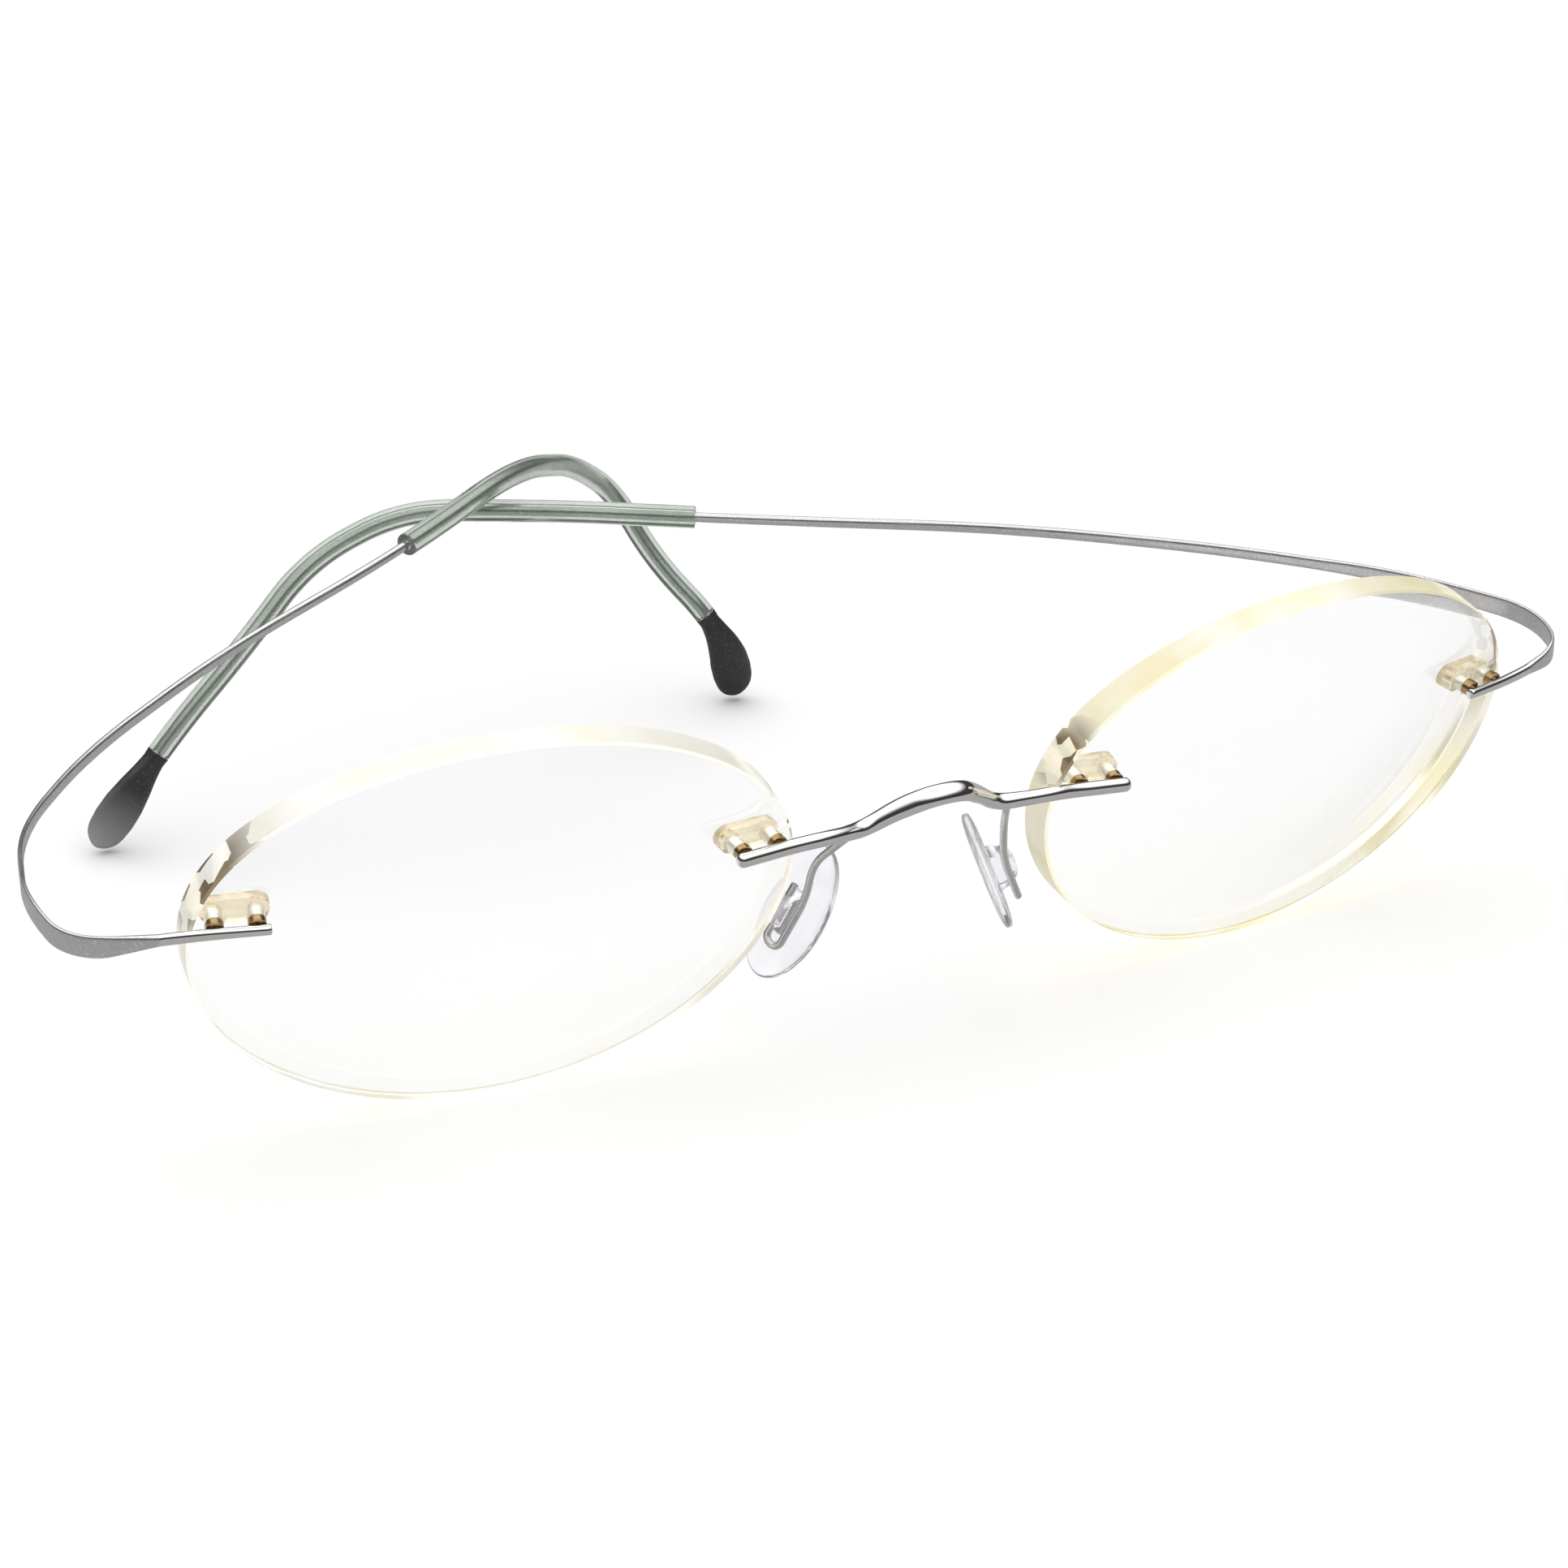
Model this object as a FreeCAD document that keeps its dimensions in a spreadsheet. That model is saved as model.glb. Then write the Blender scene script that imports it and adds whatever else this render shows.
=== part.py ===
"""Rimless wire eyeglasses, lying on the lens bottoms and the temple tips.

Frame: +X is the wearer's left, +Y runs back from the lenses, +Z is up and z = 0 is the table.
Two bare lenses hang from a wire bridge and two wire temples. Each wire end is held by a pair of pins
that go through a pair of resin plugs in the lens.
"""
import FreeCAD, Part
import math
import os

from FreeCAD import Matrix, Placement, Vector

doc = FreeCAD.newDocument("rimless_glasses")

# ---------------------------------------------------------------- sizes, in millimetres and degrees
SIZES = [
    ("lens_half_width", 23.0, "half the lens width, on its widest line"),
    ("lens_above", 15.1, "lens height above its widest line"),
    ("lens_below", 17.0, "lens height below its widest line"),
    ("lens_gap", 22.7, "space between the lenses, on their widest lines"),
    ("lens_middle", 2.0, "lens thickness at its middle"),
    ("front_radius", 106.0, "radius of the lens front"),
    ("back_radius", 78.0, "radius of the lens back"),
    ("wrap_angle", 6.5, "turn of each lens round the face"),
    ("tilt_angle", 15.8, "forward lean of the lens top"),
    ("front_place", 36.7, "lens front ahead of the origin"),
    ("plug_inset", 3.3, "middle of a pair of plugs, in from the lens edge"),
    ("plug_spacing", 3.0, "spacing of the two plugs of a pair"),
    ("plug_rise_nasal", 2.6, "nasal plugs above the widest line"),
    ("plug_rise_temporal", 2.5, "temporal plugs above the widest line"),
    ("plug_slope_nasal", 0.0, "rise of the nasal pair's line away from the nose"),
    ("plug_slope_temporal", -4.0, "rise of the temporal pair's line away from the nose"),
    ("plug_radius", 0.64, "outside of a plug tube"),
    ("plug_clearance", 0.02, "plug tube in its lens hole"),
    ("plate_width", 2.0, "width of the plate behind the lens"),
    ("plate_thickness", 0.7, "thickness of the plate behind the lens"),
    ("pin_radius", 0.34, "pin in a plug"),
    ("pin_clearance", 0.02, "pin in the plug's bore"),
    ("collar_radius", 0.68, "outside of the collar round a pin"),
    ("rod_stand_off", 1.1, "rod centreline ahead of the lens front"),
    ("rod_overhang", 2.5, "rod end past the middle of its pins"),
    ("bridge_radius", 0.575, "round rod of the bridge"),
    ("arch_half_width", 0.85, "half width of the flattened bridge arch"),
    ("arch_half_thickness", 0.55, "half thickness of the flattened bridge arch"),
    ("temple_radius", 0.4, "round front rod and core wire of a temple"),
    ("ribbon_thickness", 0.36, "thickness of the corner ribbon"),
    ("ribbon_height", 1.65, "height of the corner ribbon"),
    ("temple_reach", 106.0, "size of a temple's resting shape, from its pins to its far corners"),
    ("sleeve_start", 90.0, "sleeve's front end, along the wire from the rod end"),
    ("sleeve_radius", 0.97, "outside of the ear sleeve"),
    ("sleeve_clearance", 0.05, "core wire in the sleeve"),
    ("tip_length", 9.5, "length of the paddle tip"),
    ("tip_half_width", 1.9, "half of the paddle's greatest width"),
    ("tip_half_thickness", 0.95, "half of the paddle's greatest thickness"),
    ("arm_radius", 0.3, "pad arm wire"),
    ("arm_spacing", 1.5, "spacing of the two legs of the pad arm's hook"),
    ("arm_leg_below", 2.6, "hook's low end below the pad's middle"),
    ("arm_leg_above", 2.3, "hook's free end above the pad's middle"),
    ("pad_half_length", 5.75, "half the nose pad's length"),
    ("pad_half_width", 3.2, "half the nose pad's width"),
    ("pad_thickness", 1.1, "nose pad's thickness"),
    ("pad_edge", 0.42, "rounding of the nose pad's edge"),
    ("pad_out", 2.0, "pad's middle outward of the arm's weld"),
    ("pad_back", 6.0, "pad's middle behind the arm's weld"),
    ("pad_drop", 8.3, "pad's middle below the arm's weld"),
    ("lug_radius", 1.9, "half-round lug on the pad's outer face"),
    ("lug_width", 1.6, "lug's width"),
    ("pivot_height", 1.5, "hook's leg off the pad's middle plane"),
    ("pivot_clearance", 0.05, "hook's leg in the lug's bore"),
]

sheet = doc.addObject("Spreadsheet::Sheet", "sizes")
for row, (alias, value, note) in enumerate(SIZES, start=1):
    sheet.set("A%d" % row, alias)
    sheet.set("B%d" % row, str(value))
    sheet.set("C%d" % row, note)
    sheet.setAlias("B%d" % row, alias)
doc.recompute()


def size(alias):
    """The sheet's value for an alias, as a plain number."""
    return float(sheet.get(alias))


def bind(feature, **formulas):
    """Ties properties of a feature to formulas in the sheet's aliases."""
    for name, formula in formulas.items():
        feature.setExpression(name, formula)
    return feature


def add(kind, name, **formulas):
    """Adds a feature to the document and ties its sizes to the sheet."""
    return bind(doc.addObject(kind, name), **formulas)


def combine(kind, name, first, second):
    """Cut, fuse or common of two features."""
    feature = doc.addObject(kind, name)
    feature.Base = first
    feature.Tool = second
    return feature


def frame_at(place, along, up, outward):
    """Placement whose local X, Y and Z are three square directions."""
    return Placement(Matrix(along.x, up.x, outward.x, place.x,
                            along.y, up.y, outward.y, place.y,
                            along.z, up.z, outward.z, place.z,
                            0, 0, 0, 1))


def unit(vector):
    """Copy of a vector, one long."""
    return Vector(vector).normalize()


# ---------------------------------------------------------------- where the left lens sits
def sag(radius, reach):
    """Depth of a spherical surface at a distance from its middle."""
    return radius - math.sqrt(radius ** 2 - reach ** 2)


WRAP = math.radians(size("wrap_angle"))
TILT = math.radians(size("tilt_angle"))
ACROSS = Vector(math.cos(WRAP), math.sin(WRAP), 0)
LEVEL_BACK = Vector(-math.sin(WRAP), math.cos(WRAP), 0)
BACK = LEVEL_BACK * math.cos(TILT) + Vector(0, 0, math.sin(TILT))
UPWARD = Vector(0, 0, math.cos(TILT)) - LEVEL_BACK * math.sin(TILT)
LENS_CENTRE = Vector(
    size("lens_gap") / 2 + size("lens_half_width") * math.cos(WRAP),
    -size("front_place"),
    size("lens_below") * math.cos(TILT)
    - sag(size("front_radius"), size("lens_below")) * math.sin(TILT),
)
LENS_PLACE = frame_at(LENS_CENTRE, ACROSS, UPWARD, -BACK)


def pair_frame(side, name):
    """Placement of a pair of plugs: origin on the lens front, Z out of it, X towards the temple.

    side is -1 for the nasal pair and 1 for the temporal pair.
    """
    rise = size("plug_rise_" + name)
    slope = math.radians(size("plug_slope_" + name))
    reach = side * (size("lens_half_width") - size("plug_inset"))
    radius = size("front_radius")
    depth = sag(radius, math.hypot(reach, rise))
    spot = LENS_CENTRE + ACROSS * reach + UPWARD * rise + BACK * depth
    outward = unit(spot - (LENS_CENTRE + BACK * radius))
    level = unit(ACROSS - outward * ACROSS.dot(outward))
    along = level * math.cos(slope) + outward.cross(level) * math.sin(slope)
    return frame_at(spot, along, outward.cross(along), outward)


def lens_thickness(name):
    """Lens thickness at a pair of plugs."""
    reach = math.hypot(size("lens_half_width") - size("plug_inset"), size("plug_rise_" + name))
    return size("lens_middle") + sag(size("back_radius"), reach) - sag(size("front_radius"), reach)


PAIRS = {
    "nasal": (pair_frame(-1, "nasal"), lens_thickness("nasal")),
    "temporal": (pair_frame(1, "temporal"), lens_thickness("temporal")),
}


# ---------------------------------------------------------------- paths and bars
ARC_SHARE = 0.45


def rounded_path(points):
    """Edges of straight runs joined by tangent arcs, each as large as its runs allow."""
    edges = []
    start = points[0]
    for before, corner, after in zip(points, points[1:], points[2:]):
        way_in = unit(corner - before)
        way_out = unit(after - corner)
        trim = ARC_SHARE * min((corner - before).Length, (after - corner).Length)
        turn = way_in.getAngle(way_out)
        radius = trim / math.tan(turn / 2)
        middle_way = unit(way_out - way_in)
        centre = corner + middle_way * (radius / math.cos(turn / 2))
        arc_start = corner - way_in * trim
        arc_end = corner + way_out * trim
        edges.append(Part.LineSegment(start, arc_start).toShape())
        edges.append(Part.Arc(arc_start, centre - middle_way * radius, arc_end).toShape())
        start = arc_end
    edges.append(Part.LineSegment(start, points[-1]).toShape())
    return edges


def length_of(edges):
    """Whole length of a path."""
    return sum(edge.Length for edge in edges)


def stretch(edges, start, end):
    """The edges of a path between two distances along it."""
    kept = []
    passed = 0.0
    for edge in edges:
        low = max(start - passed, 0.0)
        high = min(end - passed, edge.Length)
        if high - low > 1e-4:
            first = edge.getParameterByLength(low)
            last = edge.getParameterByLength(high)
            kept.append(edge.Curve.toShape(first, last))
        passed += edge.Length
    return kept


def point_on(edges, distance):
    """Point and direction of a path at a distance along it."""
    left = distance
    for edge in edges:
        if left <= edge.Length or edge is edges[-1]:
            parameter = edge.getParameterByLength(min(left, edge.Length))
            return edge.valueAt(parameter), unit(edge.tangentAt(parameter))
        left -= edge.Length


def round_bar(name, edges, radius):
    """Round wire swept along a path. radius is a formula in the sheet's aliases."""
    path = doc.addObject("Part::Feature", name + "_path")
    path.Shape = Part.Wire(edges)
    spot, way = point_on(edges, 0.0)
    ring = add("Part::Circle", name + "_ring", Radius=radius)
    ring.Placement = Placement(spot, FreeCAD.Rotation(Vector(0, 0, 1), way))
    sweep = doc.addObject("Part::Sweep", name)
    sweep.Sections = [ring]
    sweep.Spine = (path, ["Edge%d" % (i + 1) for i in range(len(edges))])
    sweep.Solid = True
    return sweep


def flat_ring(spot, way, wide, half_thickness, half_width):
    """Outline of a flattened wire: two straight sides and two round edges."""
    wide_way = unit(wide - way * wide.dot(way))
    thin_way = way.cross(wide_way)
    straight = half_width - half_thickness
    corners = [
        spot + thin_way * (half_thickness * t) + wide_way * (straight * w)
        for t, w in ((1, -1), (1, 1), (-1, 1), (-1, -1))
    ]
    top = spot + wide_way * half_width
    bottom = spot - wide_way * half_width
    return Part.Wire([
        Part.LineSegment(corners[0], corners[1]).toShape(),
        Part.Arc(corners[1], top, corners[2]).toShape(),
        Part.LineSegment(corners[2], corners[3]).toShape(),
        Part.Arc(corners[3], bottom, corners[0]).toShape(),
    ])


def oval_ring(spot, way, wide, half_thickness, half_width):
    """Oval outline square to a path, its long axis nearest to the wide direction."""
    wide_way = unit(wide - way * wide.dot(way))
    thin_way = wide_way.cross(way)
    oval = Part.Ellipse(Vector(0, 0, 0), max(half_width, half_thickness + 1e-3), half_thickness)
    ring = Part.Wire(oval.toShape())
    ring.Placement = frame_at(spot, wide_way, -thin_way, way)
    return ring


def between(table, distance):
    """Half thickness and half width at a distance, read in line between the table's rows."""
    for (start, *first), (end, *last) in zip(table, table[1:]):
        if distance <= end:
            share = (distance - start) / (end - start)
            return [a + (b - a) * share for a, b in zip(first, last)]
    return table[-1][1:]


def shaped_bar(edges, start, end, steps, table, wide, outline):
    """Bar whose section changes along a path. table rows: distance, half thickness, half width."""
    rings = []
    for step in range(steps + 1):
        distance = start + (end - start) * step / steps
        spot, way = point_on(edges, distance)
        half_thickness, half_width = between(table, distance)
        rings.append(outline(spot, way, wide, half_thickness, half_width))
    return Part.makeLoft(rings, True, False)


def solid_feature(name, shape):
    """Keeps a shape made here as a feature of the document."""
    feature = doc.addObject("Part::Feature", name)
    feature.Shape = shape
    feature.Placement = Placement()
    return feature


def mirrored(name, source):
    """The wearer's right piece from the left one."""
    feature = doc.addObject("Part::Mirroring", name)
    feature.Source = source
    feature.Base = Vector(0, 0, 0)
    feature.Normal = Vector(1, 0, 0)
    return feature


SUB_PARTS = []


def keep(feature, label):
    """Names a finished sub-part."""
    feature.Label = label
    SUB_PARTS.append(feature)
    return feature


def keep_both(left, label):
    """Names a left sub-part and makes and names its mirror image."""
    keep(left, label + "_left")
    keep(mirrored(left.Name + "_mirror", left), label + "_right")


# ---------------------------------------------------------------- lenses
def half_blank(name, height, is_upper):
    """Half of the lens outline, as a block: half an ellipse."""
    ring = add("Part::Ellipse", name + "_ring", MajorRadius="sizes.lens_half_width",
               MinorRadius="sizes." + height)
    block = add("Part::Extrusion", name + "_block", LengthFwd="sizes.front_radius / 4")
    block.Base = ring
    block.DirMode = "Custom"
    block.Dir = Vector(0, 0, 1)
    block.Solid = True
    block.Placement.Base = Vector(0, 0, -size("front_radius") / 5)
    box = add("Part::Box", name + "_box", Length="3 * sizes.lens_half_width", Width="2 * sizes." + height,
              Height="sizes.front_radius")
    low = 0 if is_upper else -2 * size(height)
    box.Placement.Base = Vector(-1.5 * size("lens_half_width"), low, -size("front_radius") / 2)
    return combine("Part::Common", name, block, box)


def lens_blank():
    """Lens without its holes: the outline between the front and back spheres."""
    outline = combine("Part::Fuse", "outline", half_blank("upper", "lens_above", True),
                      half_blank("lower", "lens_below", False))
    front = add("Part::Sphere", "front_ball", Radius="sizes.front_radius")
    front.Placement.Base = Vector(0, 0, -size("front_radius"))
    back = add("Part::Sphere", "back_ball", Radius="sizes.back_radius")
    back.Placement.Base = Vector(0, 0, -size("lens_middle") - size("back_radius"))
    blank = combine("Part::Cut", "lens_blank", combine("Part::Common", "domed", outline, front), back)
    blank.Placement = LENS_PLACE
    return blank


def pair_cylinder(name, which, radius, low, high, side):
    """Cylinder on one plug axis, from low to high on the axis that comes out of the lens."""
    cylinder = add("Part::Cylinder", name, Radius=radius)
    cylinder.Height = high - low
    cylinder.Placement = PAIRS[which][0] * Placement(
        Vector(side * size("plug_spacing") / 2, 0, low), FreeCAD.Rotation())
    return cylinder


def gather(kind, name, shapes):
    """Multi-fuse or compound of several features."""
    feature = doc.addObject(kind, name)
    if kind == "Part::Compound":
        feature.Links = shapes
    else:
        feature.Shapes = shapes
    return feature


def lens(blank):
    """Lens with its four plug holes."""
    holes = [
        pair_cylinder("hole_%s_%d" % (which, side + 1), which,
                      "sizes.plug_radius + sizes.plug_clearance", -6.0, 2.0, side)
        for which in PAIRS for side in (-1, 1)
    ]
    return combine("Part::Cut", "lens", blank, gather("Part::Compound", "holes", holes))


# ---------------------------------------------------------------- plugs, pins and collars
PLUG_WALL = 0.2
PIN_SHORT = 0.1
COLLAR_GAP = 0.03


def plug(which, blank):
    """Twin plug: a plate behind the lens and two tubes through it."""
    place, thickness = PAIRS[which]
    back = -(thickness + size("plate_thickness"))
    bar = add("Part::Box", which + "_plate_bar", Length="sizes.plug_spacing", Width="sizes.plate_width")
    bar.Height = size("plate_thickness") + thickness / 2
    bar.Placement = place * Placement(
        Vector(-size("plug_spacing") / 2, -size("plate_width") / 2, back), FreeCAD.Rotation())
    ends = [
        pair_cylinder("%s_plate_end_%d" % (which, side + 1), which, "sizes.plate_width / 2",
                      back, -thickness / 2, side)
        for side in (-1, 1)
    ]
    plate = combine("Part::Cut", which + "_plate",
                    gather("Part::MultiFuse", which + "_plate_block", [bar] + ends), blank)
    tubes = [
        pair_cylinder("%s_tube_%d" % (which, side + 1), which, "sizes.plug_radius",
                      back + PLUG_WALL, COLLAR_GAP / 2, side)
        for side in (-1, 1)
    ]
    bores = [
        pair_cylinder("%s_bore_%d" % (which, side + 1), which, "sizes.pin_radius + sizes.pin_clearance",
                      back + PLUG_WALL, 1.0, side)
        for side in (-1, 1)
    ]
    body = gather("Part::MultiFuse", which + "_plug_body", [plate] + tubes)
    return combine("Part::Cut", which + "_plug", body, gather("Part::Compound", which + "_bores", bores))


def pins(which, rod):
    """Two pins from the rod into the plugs, with their tops shaped to the rod."""
    thickness = PAIRS[which][1]
    low = -(thickness + size("plate_thickness")) + PLUG_WALL + PIN_SHORT
    pair = [
        pair_cylinder("%s_pin_%d" % (which, side + 1), which, "sizes.pin_radius",
                      low, size("rod_stand_off"), side)
        for side in (-1, 1)
    ]
    return combine("Part::Cut", which + "_pins", gather("Part::Compound", which + "_pin_pair", pair), rod)


def collars(which, rod_radius):
    """Two rings round the pins, between the lens and the rod."""
    high = size("rod_stand_off") - rod_radius - COLLAR_GAP / 2
    discs = [
        pair_cylinder("%s_collar_%d" % (which, side + 1), which, "sizes.collar_radius",
                      COLLAR_GAP, high, side)
        for side in (-1, 1)
    ]
    bores = [
        pair_cylinder("%s_collar_bore_%d" % (which, side + 1), which,
                      "sizes.pin_radius + sizes.pin_clearance", -1.0, 2.0, side)
        for side in (-1, 1)
    ]
    return combine("Part::Cut", which + "_collars", gather("Part::Compound", which + "_discs", discs),
                   gather("Part::Compound", which + "_collar_bores", bores))


# ---------------------------------------------------------------- bridge
ROD_RUN = 2.3
ROD_END_ROUND = 0.45
ARCH_STEPS = 24


def mirror_point(point):
    """The same point on the wearer's right."""
    return Vector(-point.x, point.y, point.z)


def rod_point(which, along):
    """Point on the line of a rod in front of a pair of plugs."""
    return PAIRS[which][0].multVec(Vector(along, 0, size("rod_stand_off")))


def arch_corners():
    """Left corners of the arch from the nasal rod up to the crown.

    Each row: share of the way out to the rod, forward of the rod's end, above the rod's end.
    """
    inner = rod_point("nasal", -ROD_RUN)
    rows = [(0.82, 0.45, 0.30), (0.665, 0.05, 0.15), (0.47, -0.95, -0.15), (0.28, 0.25, 1.45),
            (0.105, 1.75, 2.65)]
    return [Vector(inner.x * out, inner.y - ahead, inner.z + above) for out, ahead, above in rows]


def bridge():
    """One wire: a round rod over each lens and a flattened arch between them."""
    outer = rod_point("nasal", size("rod_overhang"))
    inner = rod_point("nasal", -ROD_RUN)
    left = [inner] + arch_corners()
    edges = rounded_path(left + [mirror_point(p) for p in reversed(left)])
    whole = length_of(edges)
    round_half = size("bridge_radius")
    table = [
        (0.0, round_half, round_half),
        (0.22 * whole, round_half, round_half),
        (0.36 * whole, size("arch_half_thickness"), size("arch_half_width")),
        (0.64 * whole, size("arch_half_thickness"), size("arch_half_width")),
        (0.78 * whole, round_half, round_half),
        (whole, round_half, round_half),
    ]
    arch = shaped_bar(edges, 0.0, whole, ARCH_STEPS, table, Vector(0, 0.75, 0.65), oval_ring)
    rod = Part.makeCylinder(round_half, (outer - inner).Length, inner, outer - inner)
    end = [e for e in rod.Edges if (e.BoundBox.Center - outer).Length < round_half / 2]
    rod = rod.makeFillet(ROD_END_ROUND, end)
    other = rod.mirror(Vector(0, 0, 0), Vector(1, 0, 0))
    return solid_feature("bridge", arch.multiFuse([rod, other]).removeSplitter())


# ---------------------------------------------------------------- nose pads and their arms
PAD_LONG = unit(Vector(-0.44, -0.17, 0.88))
PAD_OUT = unit(Vector(0.864, -0.345, 0.366) - PAD_LONG * Vector(0.864, -0.345, 0.366).dot(PAD_LONG))
PAD_FORWARD = PAD_OUT.cross(PAD_LONG)
LUG_SEAT = 0.4
WELD_SHARE = 0.36
KNEE_OUT, KNEE_BACK, KNEE_DROP = 0.87, 0.55, 0.42
LEG_TOP_SHORT = 0.3


def weld_point():
    """Where the pad arm meets the bridge's centreline."""
    corners = arch_corners()
    return corners[1] * WELD_SHARE + corners[2] * (1 - WELD_SHARE)


def pad_place():
    """Placement of the left nose pad: X up along it, Y forward, Z towards the lens side."""
    spot = weld_point() + Vector(size("pad_out"), size("pad_back"), -size("pad_drop"))
    return frame_at(spot, PAD_LONG, PAD_FORWARD, PAD_OUT)


def pad_arm(bridge_feature):
    """Thin wire from the bridge, down behind it, ending in a hook whose free leg holds the pad."""
    weld = weld_point()
    place = pad_place()
    height = size("pivot_height")
    knee = Vector(weld.x + size("pad_out") * KNEE_OUT, weld.y + size("pad_back") * KNEE_BACK,
                  weld.z - size("pad_drop") * KNEE_DROP)
    points = [
        weld,
        knee,
        place.multVec(Vector(size("arm_leg_above") - LEG_TOP_SHORT, size("arm_spacing"), height)),
        place.multVec(Vector(-size("arm_leg_below"), size("arm_spacing"), height)),
        place.multVec(Vector(-size("arm_leg_below"), 0, height)),
        place.multVec(Vector(size("arm_leg_above"), 0, height)),
    ]
    wire = round_bar("pad_arm_wire", rounded_path(points), "sizes.arm_radius")
    return combine("Part::Cut", "pad_arm", wire, bridge_feature)


def nose_pad():
    """Oval silicone pad with a half-round lug, bored for the hook's leg."""
    ring = add("Part::Ellipse", "pad_ring", MajorRadius="sizes.pad_half_length",
               MinorRadius="sizes.pad_half_width")
    slab = add("Part::Extrusion", "pad_slab", LengthFwd="sizes.pad_thickness")
    slab.Base = ring
    slab.DirMode = "Custom"
    slab.Dir = Vector(0, 0, 1)
    slab.Solid = True
    slab.Placement.Base = Vector(0, 0, -size("pad_thickness") / 2)
    doc.recompute()
    soft = doc.addObject("Part::Fillet", "pad_soft")
    soft.Base = slab
    rims = [i + 1 for i, e in enumerate(slab.Shape.Edges) if e.BoundBox.ZLength < 1e-6]
    soft.Edges = [(i, size("pad_edge"), size("pad_edge")) for i in rims]
    disc = add("Part::Cylinder", "lug_disc", Radius="sizes.lug_radius", Height="sizes.lug_width")
    disc.Placement = Placement(Vector(0, size("lug_width") / 2, LUG_SEAT),
                               FreeCAD.Rotation(Vector(1, 0, 0), 90))
    room = add("Part::Box", "lug_room", Length="2.2 * sizes.lug_radius", Width="2 * sizes.lug_width",
               Height="2 * sizes.lug_radius")
    room.Placement.Base = Vector(-1.1 * size("lug_radius"), -size("lug_width"), 0)
    lug = combine("Part::Common", "lug", disc, room)
    bore = add("Part::Cylinder", "lug_bore", Radius="sizes.arm_radius + sizes.pivot_clearance",
               Height="4 * sizes.lug_radius")
    bore.Placement = Placement(Vector(-2 * size("lug_radius"), 0, size("pivot_height")),
                               FreeCAD.Rotation(Vector(0, 1, 0), 90))
    pad = combine("Part::Cut", "nose_pad", combine("Part::Fuse", "pad_body", soft, lug), bore)
    pad.Placement = pad_place()
    return pad


# ---------------------------------------------------------------- temples
# Corners of each temple's resting shape: the two cross, the right one above.
# Each row: outward of the pins, behind them, and height as a share of the rod's height at the pins.
# Outward distances grow with the front's width and the others with the reach, so the crossing stays clear.
LEFT_SHAPE = [
    (9.6, 3.0, 1.035), (11.25, 9.25, 1.080), (4.1, 18.75, 1.174), (-6.7, 28.5, 1.230),
    (-21.8, 39.0, 1.290), (-39.9, 49.7, 1.306), (-55.7, 59.1, 1.333), (-67.3, 63.95, 1.350),
    (-76.1, 63.7, 1.185), (-83.1, 61.3, 0.872), (-90.2, 60.8, 0.518), (-97.0, 61.4, 0.036),
]
RIGHT_SHAPE = [
    (11.7, 2.1, 1.000), (12.25, 9.15, 1.066), (8.3, 22.15, 1.049), (-1.2, 33.6, 1.088),
    (-16.4, 43.9, 1.211), (-35.6, 53.1, 1.363), (-51.1, 62.4, 1.503), (-60.3, 71.3, 1.311),
    (-66.4, 75.5, 1.068), (-69.1, 72.3, 0.735), (-73.3, 68.0, 0.430), (-76.4, 70.0, 0.030),
]
SHAPE_REACH = 106.0
SHAPE_HALF_FRONT = 53.97
EDGE_RUN = 3.3
RIBBON_START = 8.0
RIBBON_FULL = 12.0
RIBBON_END = 23.0
RIBBON_FLAT_SHORT = 3.0
TAPER_RUN = 14.0
TAPER_HALF_THICKNESS = 0.25
TAPER_HEIGHT_SHARE = 0.31
RIBBON_STEPS = 12
WIRE_STEPS = 12
CORE_IN_TIP = 2.2
TIP_STEPS = 10


def temple_path(is_right):
    """Edges of a temple's centreline from the rod end over the lens to the tip."""
    rows = RIGHT_SHAPE if is_right else LEFT_SHAPE
    pins_middle = rod_point("temporal", 0.0)
    wide = pins_middle.x / SHAPE_HALF_FRONT
    deep = size("temple_reach") / SHAPE_REACH
    points = [rod_point("temporal", -size("rod_overhang")), rod_point("temporal", EDGE_RUN)]
    for outward, behind, share in rows:
        points.append(Vector(pins_middle.x + outward * wide, pins_middle.y + behind * deep,
                             pins_middle.z * share))
    if is_right:
        points = [mirror_point(p) for p in points]
    return rounded_path(points)


def ribbon_table(end):
    """Section of the flattened wire by distance from the rod end: half thickness, half height."""
    radius = size("temple_radius")
    return [
        (RIBBON_START, 0.85 * radius, 1.1 * radius),
        (RIBBON_FULL, size("ribbon_thickness") / 2, size("ribbon_height") / 2),
        (RIBBON_END - RIBBON_FLAT_SHORT, size("ribbon_thickness") / 2, size("ribbon_height") / 2),
        (RIBBON_END + TAPER_RUN, TAPER_HALF_THICKNESS, TAPER_HEIGHT_SHARE * size("ribbon_height")),
        (end, 0.9 * radius, 1.1 * radius),
    ]


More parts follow.
